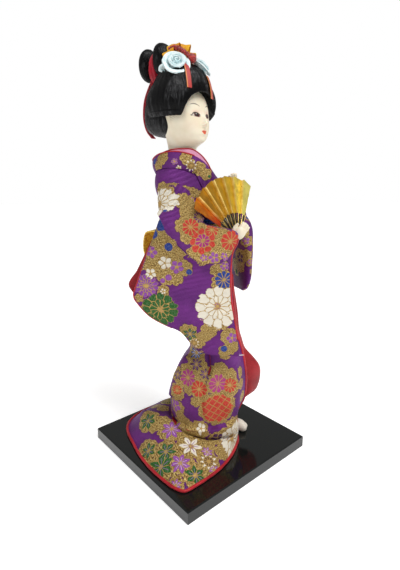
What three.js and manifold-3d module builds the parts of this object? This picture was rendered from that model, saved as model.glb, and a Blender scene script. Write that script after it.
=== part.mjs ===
import * as THREE from 'three';
import { mergeVertices } from 'three/addons/utils/BufferGeometryUtils.js';
import Module from 'manifold-3d';

// A dressed geisha doll on a lacquered display board.
// Millimetres, +Z up, origin at the centre of the board's underside.
// The doll faces -Y, so her right side is -X. Her skirt opens at her front left.

// Driving dimensions: board and leg wires
const BOARD_SIDE = 125;
const BOARD_THICK = 9.6;
const BOARD_CHAMFER = 0.8;
const GAP = 0.3; // between two pieces that touch
const WIRE_RADIUS = 1.4;
const WIRE_SEAT = 6; // depth of a wire's hole in the board
const WIRE_TOP_Z = 140;

// Driving dimensions: cloth
const CLOTH = 1.2;
const LINING = 0.9;
const PIPING_RADIUS = 1.1;
const PIPING_TOP_Z = 150;
const OBI_THICK = 1.8;
const OBI_LOW_Z = 162;
const OBI_HEIGHT = 26;
const SCARF_RADIUS = 2;
const CORD_RADIUS = 1.1;
const SKIRT_OPEN_FROM = -52; // degrees about +Z, the near front edge
const SKIRT_OPEN_TO = -8; // the far front edge
const SKIRT_FOOT = [10, 0]; // middle of the skirt's column above the board
const CREASE_RADIUS = 31;
const CREASE_DEPTH = 3.5;
const CREASE_Z = 24;
const TRAIN_PUFF = 5;
const UNDER_LOW_Z = 39;
const CORE_LOW_Z = 122;

// Driving dimensions: head and hair
const NECK = [-6, 8.5]; // the neck's axis
const NECK_RADIUS = 9.6;
const NECK_BASE_Z = 231.5;
const HEAD_TURN = 6; // degrees, the face turned to her left
const SKULL_MIDDLE_Z = 262;
const PEG_RADIUS = 4;
const PEG_SEAT = 12; // how deep the peg stands in the body
const PEG_CLEARANCE = 0.1;
const CROWN_SIZE = [20.5, 22, 22];
const CROWN_Z = 274;
const WING_FLOOR_Z = 260.5;
const BUN_Z = 301;

// Driving dimensions: arms, hands and fan
const ARM_RADIUS = 4.4;
const WRIST_RADIUS = 3.3;
const FINGER_RADIUS = 1.25;
const FINGER_LENGTH = 5;
const RIGHT_ARM = [[-20, 5, 210], [-26, -15, 182], [3.5, -38, 179.5]];
const LEFT_ARM = [[13, 4, 210], [36, -9, 186], [26.5, -12, 206]];
const FAN_PIVOT = [10.9, -35, 179.2];
const FAN_YAW = 6.2; // degrees, the fan's face turned about +Z
const FAN_LEAN = 17.3; // degrees, the fan's face tipped up
const FAN_RADIUS = 43.5;
const FAN_LEAF_INNER = 17.5;
const FAN_FIRST_ANGLE = 55.6; // degrees above the fan's own horizontal
const BLADE_ANGLE = 13.3;
const LEAF_LAP = 1.4; // degrees one leaf reaches over the next
const BLADE_COUNT = 7;
const BLADE_THICK = 0.4;
const BLADE_PITCH = 0.72; // from one blade to the next along the rivet
const BLADE_TILT = 6.5; // degrees, each blade's far edge raised like a pleat
const STICK_WIDTH = 2;
const BOSS_RADIUS = 1.9;
const RIVET_RADIUS = 0.7;
const RIVET_HEAD = 1.5;
const RIVET_CLEARANCE = 0.08;

const BOARD_TOP = BOARD_THICK;
const REST_Z = BOARD_TOP + GAP;
const rad = THREE.MathUtils.degToRad;
const lerp = THREE.MathUtils.lerp;
const V = (x, y, z) => new THREE.Vector3(x, y, z);

const wasm = await Module();
wasm.setup();

// The kimono's outer surface from the shoulders to the fold above the train:
// height, centre x, centre y, half-width, half-depth, from the bottom up
const BODY = [
  [30, 10, 0, 30.5, 30.5],
  [40, 10, -0.5, 31.3, 31],
  [51, 10, -1.5, 31, 31],
  [64, 10.7, -3.2, 29.5, 29],
  [76, 12, -5, 26, 25],
  [88, 13, -7, 21.5, 20],
  [98, 11, -6.5, 20.5, 19],
  [115, 7.5, -5.8, 22, 19],
  [135, 4.5, -4.8, 23.5, 20],
  [150, 3, -4, 24, 20.5],
  [165, 2, -3.5, 22.5, 18.5],
  [178, 0.5, -3, 21, 16.5],
  [188, -0.5, -1.5, 22, 17],
  [199, -2, 1, 24.5, 17],
  [210, -3.5, 4.5, 26.5, 17],
  [220, -4.5, 7.5, 24, 16.5],
  [229, -5.5, 10, 18, 15],
];

// The hem on the board: degrees about +Z and distance from the skirt's foot
const HEM = [
  [-370, 32], [-330, 38], [-300, 46], [-272, 53.6], [-251, 62.1], [-225, 70.2], [-198, 65.7],
  [-174, 68.3], [-159, 73.3], [-148, 78.7], [-144.5, 80.4], [-141, 76.4], [-133, 66.7],
  [-120, 54.2], [-97, 39.1], [-68, 30.9], [-50, 30.5],
];

// A smooth curve through rows of numbers, the first number of each row being its place
function through(rows) {
  const size = rows[0].length - 1;
  const curve = new THREE.CubicInterpolant(
    rows.map((row) => row[0]), rows.flatMap((row) => row.slice(1)), size, new Array(size));
  return (at) => [...curve.evaluate(at)];
}

const bodyAt = through(BODY);
const hemAt = through(HEM);

// Closed bodies from points

function closedBody(points, faces) {
  const geometry = new THREE.BufferGeometry();
  const flat = points.flatMap((p) => [p.x, p.y, p.z]);
  let volume = 0;
  for (let i = 0; i < faces.length; i += 3) {
    const [a, b, c] = [points[faces[i]], points[faces[i + 1]], points[faces[i + 2]]];
    volume += a.dot(b.clone().cross(c));
  }
  if (volume < 0) {
    for (let i = 0; i < faces.length; i += 3) {
      [faces[i + 1], faces[i + 2]] = [faces[i + 2], faces[i + 1]];
    }
  }
  geometry.setAttribute('position', new THREE.Float32BufferAttribute(flat, 3));
  geometry.setIndex(faces);
  return geometry;
}

// Rings of equal count, one after another, with both ends closed by a fan of faces
function loft(rings) {
  const n = rings[0].length;
  const points = rings.flat();
  const faces = [];
  for (let k = 0; k + 1 < rings.length; k++) {
    for (let i = 0; i < n; i++) {
      const [a, b] = [k * n + i, k * n + (i + 1) % n];
      faces.push(a, b, b + n, a, b + n, a + n);
    }
  }
  for (const [first, flip] of [[0, true], [(rings.length - 1) * n, false]]) {
    const centre = points.length;
    const middle = V(0, 0, 0);
    for (let i = 0; i < n; i++) middle.add(points[first + i]);
    points.push(middle.divideScalar(n));
    for (let i = 0; i < n; i++) {
      const [a, b] = [first + i, first + (i + 1) % n];
      faces.push(...(flip ? [centre, b, a] : [centre, a, b]));
    }
  }
  return closedBody(points, faces);
}

// A wall between two stacks of rings, open at both ends like a pipe
function pipe(outer, inner) {
  const rings = [...outer, ...[...inner].reverse()];
  const n = rings[0].length;
  const faces = [];
  for (let k = 0; k < rings.length; k++) {
    const next = (k + 1) % rings.length;
    for (let i = 0; i < n; i++) {
      const j = (i + 1) % n;
      faces.push(k * n + i, k * n + j, next * n + j, k * n + i, next * n + j, next * n + i);
    }
  }
  return closedBody(rings.flat(), faces);
}

// A sheet of cloth: at(u, v) gives its outer face, and its thickness lies on the inner side
function sheet(across, down, at, thick, floor = -Infinity) {
  const outer = [];
  const inner = [];
  const step = 0.002;
  for (let j = 0; j <= down; j++) {
    for (let i = 0; i <= across; i++) {
      const [u, v] = [i / across, j / down];
      const along = at(Math.min(u + step, 1), v).sub(at(Math.max(u - step, 0), v));
      const fall = at(u, Math.min(v + step, 1)).sub(at(u, Math.max(v - step, 0)));
      const normal = along.cross(fall).normalize();
      const point = at(u, v);
      const under = point.clone().addScaledVector(normal, -thick);
      under.z = Math.max(under.z, Math.min(floor, point.z - thick / 2));
      outer.push(point);
      inner.push(under);
    }
  }
  const wide = across + 1;
  const faces = [];
  const base = outer.length;
  const quad = (a, b, c, d) => faces.push(a, b, c, a, c, d);
  for (let j = 0; j < down; j++) {
    for (let i = 0; i < across; i++) {
      const a = j * wide + i;
      quad(a, a + wide, a + wide + 1, a + 1);
      quad(base + a, base + a + 1, base + a + wide + 1, base + a + wide);
    }
    const [l, r] = [j * wide, j * wide + across];
    quad(l, base + l, base + l + wide, l + wide);
    quad(r, r + wide, base + r + wide, base + r);
  }
  for (let i = 0; i < across; i++) {
    const low = down * wide + i;
    quad(i, i + 1, base + i + 1, base + i);
    quad(low, base + low, base + low + 1, low + 1);
  }
  return closedBody([...outer, ...inner], faces);
}

const ROUND = 20; // points round the body's rings

function ellipse(z, x, y, a, b, count = ROUND) {
  return Array.from({ length: count }, (_, i) => {
    const angle = 2 * Math.PI * i / count;
    return V(x + a * Math.cos(angle), y + b * Math.sin(angle), z);
  });
}

// A ring of the kimono's surface, made larger or smaller by grow
function bodyRing(z, grow, count = ROUND) {
  const [x, y, a, b] = bodyAt(z);
  return ellipse(z, x, y, a + grow, b + grow, count);
}

// Distance from the column's centre to the kimono's surface in one direction
function bodyReach(z, degrees) {
  const [, , a, b] = bodyAt(z);
  const [c, s] = [Math.cos(rad(degrees)), Math.sin(rad(degrees))];
  return a * b / Math.hypot(b * c, a * s);
}

// A round bar along a curve
function bar(points, radius, sides = 10, steps = 16) {
  const outline = new THREE.Shape();
  for (let i = 0; i <= sides; i++) {
    const angle = 2 * Math.PI * i / sides;
    const [x, y] = [radius * Math.cos(angle), radius * Math.sin(angle)];
    if (i === 0) outline.moveTo(x, y);
    else outline.lineTo(x, y);
  }
  const path = new THREE.CatmullRomCurve3(points.map((p) => V(...p)), false, 'centripetal');
  return new THREE.ExtrudeGeometry(outline, { steps, extrudePath: path });
}

// A round cord that closes on itself round the body at one height
function hoop(z, grow, radius, count = 24, sides = 6) {
  const rings = bodyRing(z, grow, count).map((p, i) => {
    const angle = 2 * Math.PI * i / count;
    return Array.from({ length: sides }, (_, k) => {
      const turn = 2 * Math.PI * k / sides;
      const out = radius * Math.cos(turn);
      return V(p.x + out * Math.cos(angle), p.y + out * Math.sin(angle), z + radius * Math.sin(turn));
    });
  });
  const faces = [];
  for (let k = 0; k < count; k++) {
    const next = (k + 1) % count;
    for (let i = 0; i < sides; i++) {
      const j = (i + 1) % sides;
      faces.push(k * sides + i, next * sides + i, next * sides + j);
      faces.push(k * sides + i, next * sides + j, k * sides + j);
    }
  }
  return closedBody(rings.flat(), faces);
}

// An egg: a sphere stretched to three half-sizes at a centre, squarer above a power of 2
function egg([x, y, z], [a, b, c], across = 22, down = 14, power = 2) {
  const geometry = new THREE.SphereGeometry(1, across, down).rotateX(Math.PI / 2);
  const position = geometry.getAttribute('position');
  const p = V(0, 0, 0);
  for (let i = 0; i < position.count; i++) {
    p.fromBufferAttribute(position, i);
    const size = (Math.abs(p.x) ** power + Math.abs(p.y) ** power + Math.abs(p.z) ** power) ** (1 / power);
    p.divideScalar(size);
    position.setXYZ(i, x + a * p.x, y + b * p.y, z + c * p.z);
  }
  return geometry;
}

function box([x0, y0, z0], [x1, y1, z1]) {
  const geometry = new THREE.BoxGeometry(x1 - x0, y1 - y0, z1 - z0);
  return geometry.translate((x0 + x1) / 2, (y0 + y1) / 2, (z0 + z1) / 2);
}

function cylinder([x, y], z0, z1, radius, sides = 32) {
  const geometry = new THREE.CylinderGeometry(radius, radius, z1 - z0, sides).rotateX(Math.PI / 2);
  return geometry.translate(x, y, (z0 + z1) / 2);
}

// Booleans

function solid(geometry) {
  const bare = new THREE.BufferGeometry();
  bare.setAttribute('position', geometry.getAttribute('position').clone());
  if (geometry.index) bare.setIndex(geometry.index.clone());
  const merged = mergeVertices(bare, 1e-4);
  return new wasm.Manifold(new wasm.Mesh({
    numProp: 3,
    vertProperties: Float32Array.from(merged.getAttribute('position').array),
    triVerts: Uint32Array.from(merged.index.array),
  }));
}

function geometryOf(manifold) {
  const mesh = manifold.getMesh();
  const geometry = new THREE.BufferGeometry();
  geometry.setAttribute('position', new THREE.Float32BufferAttribute(mesh.vertProperties, 3));
  geometry.setIndex(Array.from(mesh.triVerts));
  return geometry;
}

const join = (...parts) => geometryOf(parts.map(solid).reduce((a, b) => a.add(b)));
const cut = (part, ...tools) => geometryOf(tools.map(solid).reduce((a, b) => a.subtract(b), solid(part)));

// The scene

const doll = new THREE.Group();

function finish(colour, roughness, metalness = 0) {
  return new THREE.MeshStandardMaterial({ color: colour, roughness, metalness });
}

const LACQUER = finish(0x121416, 0.12);
const IRON = finish(0x6f6a64, 0.5, 0.9);
const BROCADE = finish(0x6e3290, 0.6);
const RED_SILK = finish(0xaf1923, 0.55);
const RED_PIPING = finish(0xd43c4b, 0.5);
const GOLD_BROCADE = finish(0xc09a2c, 0.45, 0.3);
const BLUE_SILK = finish(0x1f4fa8, 0.5);
const PINK_SILK = finish(0xf0b4c8, 0.6);
const SKIN = finish(0xece2cf, 0.45);
const WHITE_COTTON = finish(0xece7dc, 0.85);
const STUFFING = finish(0xd9cdb4, 0.95);
const WOOD = finish(0xc7a26e, 0.7);
const HAIR = finish(0x0b0b0c, 0.35);
const SATIN = finish(0xc5dce2, 0.4);
const GOLD_FOIL = finish(0xd9a419, 0.25, 0.8);
const BRASS = finish(0xb9903c, 0.3, 1);

function piece(name, geometry, material, parent = doll) {
  const mesh = new THREE.Mesh(geometry, material);
  mesh.name = name;
  parent.add(mesh);
  return mesh;
}

// The board: a square slab with its top edges broken by a chamfer

const legs = {
  right: { foot: [1, 3], top: [1, -3], turn: 4 },
  left: { foot: [28.5, -12.5], top: [9, -7], turn: 26 },
};

function wireBar(leg, radius, z0, z1) {
  const at = (z) => {
    const t = (z - BOARD_TOP) / (CORE_LOW_Z - BOARD_TOP);
    return [lerp(leg.foot[0], leg.top[0], t), lerp(leg.foot[1], leg.top[1], t), z];
  };
  return bar([at(z0), at((z0 + z1) / 2), at(z1)], radius, 12, 2);
}

function board() {
  const half = BOARD_SIDE / 2;
  const edge = half - BOARD_CHAMFER;
  const square = (r, z) => [V(-r, -r, z), V(r, -r, z), V(r, r, z), V(-r, r, z)];
  const slab = loft([square(half, 0), square(half, BOARD_TOP - BOARD_CHAMFER), square(edge, BOARD_TOP)]);
  const holes = Object.values(legs).map((leg) => (
    wireBar(leg, WIRE_RADIUS + GAP, BOARD_TOP - WIRE_SEAT - GAP, BOARD_TOP + WIRE_SEAT)));
  return cut(slab, ...holes);
}

piece('base_board', board(), LACQUER);

// Leg wires and tabi feet

const FOOT_SIZE = [3.9, 10, 4.6];
const ANKLE_RADIUS = 3.6;
const ANKLE_TOP_Z = 27;

function foot(leg) {
  const toe = egg([0, -5, REST_Z + 3.4], FOOT_SIZE, 10, 6);
  const ankle = egg([0, 2, REST_Z + 9], [ANKLE_RADIUS, ANKLE_RADIUS + 0.6, ANKLE_TOP_Z - REST_Z], 10, 6);
  const shoe = join(toe, ankle).rotateZ(rad(leg.turn)).translate(leg.foot[0], leg.foot[1], 0);
  const under = box([-90, -90, -40], [90, 90, REST_Z]);
  const above = box([-90, -90, ANKLE_TOP_Z], [90, 90, 90]);
  return cut(shoe, under, above, wireBar(leg, WIRE_RADIUS + GAP, BOARD_TOP - WIRE_SEAT, ANKLE_TOP_Z + 10));
}

for (const [side, leg] of Object.entries(legs)) {
  piece(`leg_wire_${side}`, wireBar(leg, WIRE_RADIUS, BOARD_TOP - WIRE_SEAT, WIRE_TOP_Z), IRON);
  piece(`foot_${side}`, foot(leg), WHITE_COTTON);
}

// The stuffed body, with the neck peg's socket and the arms' and wires' seats

const CORE_INSET = CLOTH + LINING + 6 * GAP;
const coreSteps = [CORE_LOW_Z, 140, 160, 178, 188, 199, 210, 220, 227];
const coreRings = coreSteps.map((z) => bodyRing(z, -CORE_INSET));
const neckSeat = ellipse(NECK_BASE_Z - GAP, NECK[0], NECK[1], NECK_RADIUS, NECK_RADIUS);
const coreShape = loft([...coreRings, neckSeat]);
const coreGrown = loft([
  ...coreSteps.map((z) => bodyRing(z === CORE_LOW_Z ? z - GAP : z, GAP - CORE_INSET)),
  ellipse(NECK_BASE_Z, NECK[0], NECK[1], NECK_RADIUS + GAP, NECK_RADIUS + GAP),
]);
const pegLow = NECK_BASE_Z - PEG_SEAT;
const socket = cylinder(NECK, pegLow - GAP, NECK_BASE_Z + 5, PEG_RADIUS + PEG_CLEARANCE);
const core = cut(coreShape, socket, ...Object.values(legs).map((leg) => (
  wireBar(leg, WIRE_RADIUS + GAP, CORE_LOW_Z - 10, WIRE_TOP_Z + GAP))));
piece('body_core', core, STUFFING);

// The waist: an obi, a scarf above it and a cord round it, and the room they need

const OBI_OFF = 2 * GAP; // the obi lies this far off the kimono
const obiRows = [0, 0.5, 1].map((t) => OBI_LOW_Z + OBI_HEIGHT * t);
const obi = pipe(
  obiRows.map((z) => bodyRing(z, OBI_OFF + OBI_THICK)),
  obiRows.map((z) => bodyRing(z, OBI_OFF)));
const scarf = (grow) => hoop(
  OBI_LOW_Z + OBI_HEIGHT + GAP + SCARF_RADIUS, OBI_OFF + SCARF_RADIUS, SCARF_RADIUS + grow);
const cord = (grow) => hoop(OBI_LOW_Z + OBI_HEIGHT * 0.45, OBI_OFF + OBI_THICK + GAP + CORD_RADIUS, CORD_RADIUS + grow);
piece('obi', obi, GOLD_BROCADE);
piece('obi_scarf', scarf(0), BLUE_SILK);
piece('obi_cord', cord(0), RED_SILK);
const obiRoom = loft(
  [OBI_LOW_Z - GAP, obiRows[1], OBI_LOW_Z + OBI_HEIGHT + GAP].map((z) => bodyRing(z, OBI_OFF + OBI_THICK + GAP)));
const waistRoom = join(obiRoom, scarf(GAP), cord(GAP));
const waistReach = OBI_OFF + OBI_THICK + 2 * GAP + 2 * CORD_RADIUS;
const sleeveRoom = loft([OBI_LOW_Z - GAP, obiRows[1], OBI_LOW_Z + OBI_HEIGHT + 2 * GAP + 2 * SCARF_RADIUS].map(
  (z) => bodyRing(z, waistReach)));

// Arms: padded wire from shoulder to wrist

const armBar = (arm, grow) => bar(arm, ARM_RADIUS + grow, 8, 10);
piece('arm_right', cut(armBar(RIGHT_ARM, 0), coreGrown, sleeveRoom), STUFFING);
piece('arm_left', cut(armBar(LEFT_ARM, 0), coreGrown, sleeveRoom), STUFFING);
const rightArmRoom = armBar(RIGHT_ARM, GAP);
const leftArmRoom = armBar(LEFT_ARM, GAP);

// The skirt: a column that opens at the front left and spreads into a train on the board

const skirtTop = OBI_LOW_Z + OBI_HEIGHT / 2 - GAP;
const SKIRT_STEPS = [skirtTop, 164, 152, 136, 118, 103, 93, 84, 76, 67, 57, 44, 29];
const TRAIN_STEPS = [0.3, 0.6, 0.85, 1];
const skirtRows = SKIRT_STEPS.length + 2 + TRAIN_STEPS.length - 1;

// 1 where the train lies puffed behind her right side, 0 where it slopes flat to the front
const puffAt = (degrees) => 0.5 + 0.5 * Math.cos(rad(degrees + 225));

function skirtRow(row, degrees) {
  const [c, s] = [Math.cos(rad(degrees)), Math.sin(rad(degrees))];
  const place = (x, y, reach, z) => V(x + reach * c, y + reach * s, z);
  if (row < SKIRT_STEPS.length) {
    const z = SKIRT_STEPS[row];
    const [x, y] = bodyAt(z);
    return place(x, y, bodyReach(z, degrees), z);
  }
  const step = row - SKIRT_STEPS.length;
  if (step === 0) return place(...SKIRT_FOOT, CREASE_RADIUS - CREASE_DEPTH, CREASE_Z + 1);
  if (step === 1) return place(...SKIRT_FOOT, CREASE_RADIUS, CREASE_Z);
  const t = TRAIN_STEPS[step - 2];
  const hem = hemAt(degrees)[0] - 2 * PIPING_RADIUS - 3 * GAP;
  const flat = lerp(CREASE_Z, REST_Z + CLOTH, t ** 1.3);
  const puff = TRAIN_PUFF * puffAt(degrees) * Math.sin(Math.PI * Math.min(1, t * 1.05));
  return place(...SKIRT_FOOT, lerp(Math.min(CREASE_RADIUS, hem), hem, t), Math.max(flat + puff, REST_Z + CLOTH));
}

const skirtSpan = 360 - (SKIRT_OPEN_TO - SKIRT_OPEN_FROM);
function skirtAt(u, v) {
  const degrees = SKIRT_OPEN_FROM - skirtSpan * u;
  const row = v * skirtRows;
  const low = Math.min(Math.floor(row + 1e-9), skirtRows - 1);
  return skirtRow(low, degrees).lerp(skirtRow(low + 1, degrees), row - low);
}

piece('kimono_skirt', sheet(28, skirtRows, skirtAt, CLOTH, REST_Z), BROCADE);

// The red piping along both front edges and the whole hem

function pipingPath() {
  const points = [];
  const lift = PIPING_RADIUS + 3 * GAP;
  const edge = (degrees, rows) => rows.forEach((row) => {
    const p = skirtRow(row, degrees);
    const away = degrees === SKIRT_OPEN_FROM ? 1 : -1;
    const turn = rad(degrees);
    p.x += -away * Math.sin(turn) * lift;
    p.y += away * Math.cos(turn) * lift;
    points.push([p.x, p.y, p.z]);
  });
  const rows = SKIRT_STEPS.map((_, i) => i).filter((i) => SKIRT_STEPS[i] <= PIPING_TOP_Z);
  edge(SKIRT_OPEN_FROM, rows);
  const [from, to] = [SKIRT_OPEN_FROM - 5, SKIRT_OPEN_FROM - skirtSpan + 5];
  const corners = HEM.map((row) => row[0]).filter((degrees) => degrees < from && degrees > to);
  const marks = [to, ...corners, from];
  for (let k = marks.length - 1; k >= 0; k--) {
    const between = k > 0 ? [0, 0.33, 0.67] : [0];
    for (const t of between) {
      const degrees = k > 0 ? lerp(marks[k], marks[k - 1], t) : marks[0];
      const reach = hemAt(degrees)[0] - PIPING_RADIUS;
      const turn = rad(degrees);
      points.push([
        SKIRT_FOOT[0] + reach * Math.cos(turn), SKIRT_FOOT[1] + reach * Math.sin(turn),
        REST_Z + PIPING_RADIUS + GAP]);
    }
  }
  edge(SKIRT_OPEN_FROM - skirtSpan, [...rows].reverse());
  return points;
}

piece('hem_piping', bar(pipingPath(), PIPING_RADIUS, 6, 72), RED_PIPING);

// The red under-kimono, which swells out of the skirt's opening

const UNDER = [
  // height, how far it stands out of the opening
  [UNDER_LOW_Z, 4], [42, 8], [48, 11], [57, 12], [67, 10.5], [76, 6], [84, 3.5],
  [95, 3.8], [115, 4], [135, 2.5], [150, 0.5],
];
const UNDER_ANGLES = [-14.5, -11, -7, -3.5, 0, 3.5, 7, 11, 14.5, 30, 55, 80, 105, 130, 155, 180, 205, 230, 255, 280,
  305, 330];
const OPEN_MIDDLE = (SKIRT_OPEN_FROM + SKIRT_OPEN_TO) / 2;
const OPEN_HALF = (SKIRT_OPEN_TO - SKIRT_OPEN_FROM) / 2 - 7.5;

function underRing([z, swell], grow) {
  const [x, y] = bodyAt(z);
  return UNDER_ANGLES.map((away) => {
    const degrees = OPEN_MIDDLE + away;
    const off = Math.min(1, Math.abs(away) / OPEN_HALF);
    const out = swell * Math.cos(off * Math.PI / 2) ** 0.8;
    const reach = bodyReach(z, degrees) - CLOTH - 3 * GAP + out + grow;
    return V(x + reach * Math.cos(rad(degrees)), y + reach * Math.sin(rad(degrees)), z);
  });
}

piece('under_kimono', pipe(UNDER.map((row) => underRing(row, 0)), UNDER.map((row) => underRing(row, -LINING))), RED_SILK);

// The bodice

const bodiceLow = OBI_LOW_Z + OBI_HEIGHT / 2;
const BODICE_STEPS = [bodiceLow, 184, 194, 203, 211, 218, 224, 229];
const bodiceTop = ellipse(NECK_BASE_Z + 2.5, NECK[0], NECK[1] + 1.5, 14.5, 13.5);
const bodiceTopInner = ellipse(NECK_BASE_Z + 2.5 - CLOTH, NECK[0], NECK[1] + 1.5, 13.2, 12.2);
const bodice = pipe(
  [...BODICE_STEPS.map((z) => bodyRing(z, 0)), bodiceTop],
  [...BODICE_STEPS.map((z) => bodyRing(z, -CLOTH)), bodiceTopInner]);
piece('kimono_bodice', cut(bodice, rightArmRoom, leftArmRoom), BROCADE);

// Collars: each is a band from the crossing on her chest round the back of the neck

// The kimono collar's upper edge on her right side: back, side, front and crossing
const COLLAR_EDGE = [[0, 21, 231], [-9, 20, 232], [-15.5, 15.5, 233.5], [-17.5, 6, 236], [-15, -4, 237.5],
  [-11.5, -12, 236], [-8, -18, 229], [-4, -22, 218], [1, -24.5, 207]];
const COLLAR_WIDTH = 11;
const LEFT_COLLAR_DROP = -3;
const UNDER_COLLAR_INSET = 1.9;

// upper(t) runs from t = 0 at her back to t = 1 at the crossing, offset inwards by inset
function collarHalf(side, inset, lift) {
  const points = COLLAR_EDGE.map(([x, y, z], i) => {
    const reach = Math.hypot(x, y) || 1;
    const scale = (reach - inset) / reach;
    return V(NECK[0] + side * x * scale, NECK[1] + y * scale, z + lift);
  });
  return new THREE.CatmullRomCurve3(points, false, 'centripetal');
}

// The band leans outwards from its upper edge and lies on the shoulders
function collarBand(side, inset, lift, width, thick, end) {
  const edge = collarHalf(side, inset, lift);
  const at = (u, v) => {
    const p = edge.getPoint(u * end);
    const away = V(p.x - NECK[0], p.y - NECK[1] - 2, 0).normalize();
    const lean = lerp(-0.28, 0.35, THREE.MathUtils.smoothstep(u * end, 0.15, 0.6));
    return p.addScaledVector(away, width * v * lean).add(V(0, 0, -width * v * 0.9));
  };
  return sheet(14, 2, at, side > 0 ? -thick : thick);
}

const otherSide = {
  right: box([NECK[0] - GAP / 2, -90, 150], [90, 90, 300]),
  left: box([-90, -90, 150], [NECK[0] + GAP / 2, 90, 300]),
};
const bodiceGrown = loft([
  ...BODICE_STEPS.map((z) => bodyRing(z, GAP)),
  ellipse(NECK_BASE_Z + 2.5 + GAP, NECK[0], NECK[1] + 1.5, 14.5 + GAP, 13.5 + GAP)]);

for (const [name, side] of [['right', -1], ['left', 1]]) {
  const lift = side > 0 ? LEFT_COLLAR_DROP : 0;
  const band = collarBand(-side, 0, lift, COLLAR_WIDTH, CLOTH, 1);
  piece(`kimono_collar_${name}`, cut(band, bodiceGrown, otherSide[name]), BROCADE);
}

for (const [name, side] of [['right', -1], ['left', 1]]) {
  const lift = side > 0 ? LEFT_COLLAR_DROP : 0;
  const band = collarBand(-side, UNDER_COLLAR_INSET, lift + 0.9, COLLAR_WIDTH - 3, LINING, 0.9);
  piece(`under_collar_${name}`, cut(band, bodiceGrown, otherSide[name]), PINK_SILK);
}

// The fan's own frame: across, up and out of its face, with the rivet at its origin

const fanTurn = rad(FAN_YAW);
const fanLean = rad(FAN_LEAN);
const fanNormal = V(Math.sin(fanTurn) * Math.cos(fanLean), -Math.cos(fanTurn) * Math.cos(fanLean), Math.sin(fanLean));
const fanAcross = V(Math.cos(fanTurn), Math.sin(fanTurn), 0);
const fanUp = fanNormal.clone().cross(fanAcross);
const fanFrame = new THREE.Matrix4().makeBasis(fanAcross, fanUp, fanNormal).setPosition(...FAN_PIVOT);

function extrude(points, thick, hole) {
  const outline = new THREE.Shape(points.map(([x, y]) => new THREE.Vector2(x, y)));
  if (hole) outline.holes.push(new THREE.Path().absarc(0, 0, hole, 0, 2 * Math.PI));
  return new THREE.ExtrudeGeometry(outline, { depth: thick, bevelEnabled: false, curveSegments: 10 });
}

const arc = (radius, from, to, count) => Array.from({ length: count + 1 }, (_, i) => {
  const turn = rad(lerp(from, to, i / count));
  return [radius * Math.cos(turn), radius * Math.sin(turn)];
});

const fanSpan = FAN_FIRST_ANGLE + BLADE_COUNT * BLADE_ANGLE;
const fanRoom = extrude(
  [[-3, -3], [3, -3], ...arc(FAN_RADIUS + 1, FAN_FIRST_ANGLE - 5, fanSpan + 4, 8), [-4, 0]],
  2 * GAP + BLADE_THICK + 8).translate(0, 0, -8).applyMatrix4(fanFrame);

// Sleeves: a bag that hangs from the arm in a plane turned about +Z

const RIGHT_SLEEVE_TURN = -40.7;
const LEFT_SLEEVE_TURN = 69;
const SLEEVE_SIDES = 14;

// Rows from the shoulder down: rear edge's place and height, front edge's place and height,
// distance of the bag's middle from the doll's axis, half-thickness
const RIGHT_SLEEVE = [
  [-21, 217.5, -14, 217.5, 13, 4],
  [-26, 211.5, -6.5, 211.5, 17, 9],
  [-26.3, 202, 0.5, 203, 22, 10.5],
  [-25, 195, 3.6, 195.5, 26, 11],
  [-26.5, 189, 7, 189.5, 28.5, 10.5],
  [-29, 182.5, 26.6, 184.5, 28.5, 9],
  [-31.3, 177, 28, 177, 28.5, 8],
  [-34.5, 169, 24.6, 169, 28, 6.5],
  [-38, 159, 24, 158, 27.5, 5],
  [-41.5, 149, 24, 146, 27, 4.2],
  [-45, 139, 24.6, 135, 26.5, 3.6],
  [-42.3, 132.6, 25.8, 127, 26.5, 3.2],
  [-33.7, 122.8, 27.3, 118, 26.5, 3],
  [-22.5, 116, 28.8, 109, 26.5, 2.8],
  [-12.5, 111, 30.2, 102, 26.5, 2.6],
  [-5.3, 102, 31, 96, 26.5, 2.4],
  [1.9, 94, 31, 91.5, 26.5, 2],
];
const LEFT_SLEEVE = [
  [-14, 217, -7, 217, 14, 4],
  [-19, 211, -1, 211, 19, 8.5],
  [-18, 202, 2, 202, 25, 9.5],
  [-17, 194, 5, 194, 31, 9.5],
  [-19, 187, 11, 187, 34.5, 9],
  [-21, 179, 15, 180, 36, 8],
  [-23, 169, 17.5, 170, 36.5, 6],
  [-24, 158, 18, 158, 36.5, 4.8],
  [-23, 147, 18, 146, 36.5, 3.8],
  [-19, 138, 14.5, 137.5, 36.5, 3],
  [-12, 134, 8, 133.5, 36.5, 2.2],
];

// The bag's own axes: along runs from its rear edge to its front edge, out points away from the doll
function sleeveAxes(turn, side) {
  const along = V(Math.cos(rad(turn)), Math.sin(rad(turn)), 0).multiplyScalar(side > 0 ? -1 : 1);
  const out = V(-along.y, along.x, 0).multiplyScalar(side > 0 ? 1 : -1);
  return { along, out };
}

function sleeveBag(rows, turn, side, grow = 0) {
  const rowAt = through(rows.map((row, i) => [i, ...row]));
  const { along, out } = sleeveAxes(turn, side);
  const rings = [];
  for (let k = 0; k < rows.length; k++) {
    const [rear, rearZ, front, frontZ, depth, half] = rowAt(k);
    rings.push(Array.from({ length: SLEEVE_SIDES }, (_, i) => {
      const angle = 2 * Math.PI * i / SLEEVE_SIDES;
      const across = 0.5 + 0.5 * Math.cos(angle);
      const swell = Math.sign(Math.sin(angle)) * Math.abs(Math.sin(angle)) ** 0.75;
      const p = along.clone().multiplyScalar(lerp(rear, front, across) + grow * Math.cos(angle));
      p.addScaledVector(out, depth + (half + grow) * swell);
      p.z = lerp(rearZ, frontZ, across);
      return p;
    }));
  }
  return loft(rings);
}

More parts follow.
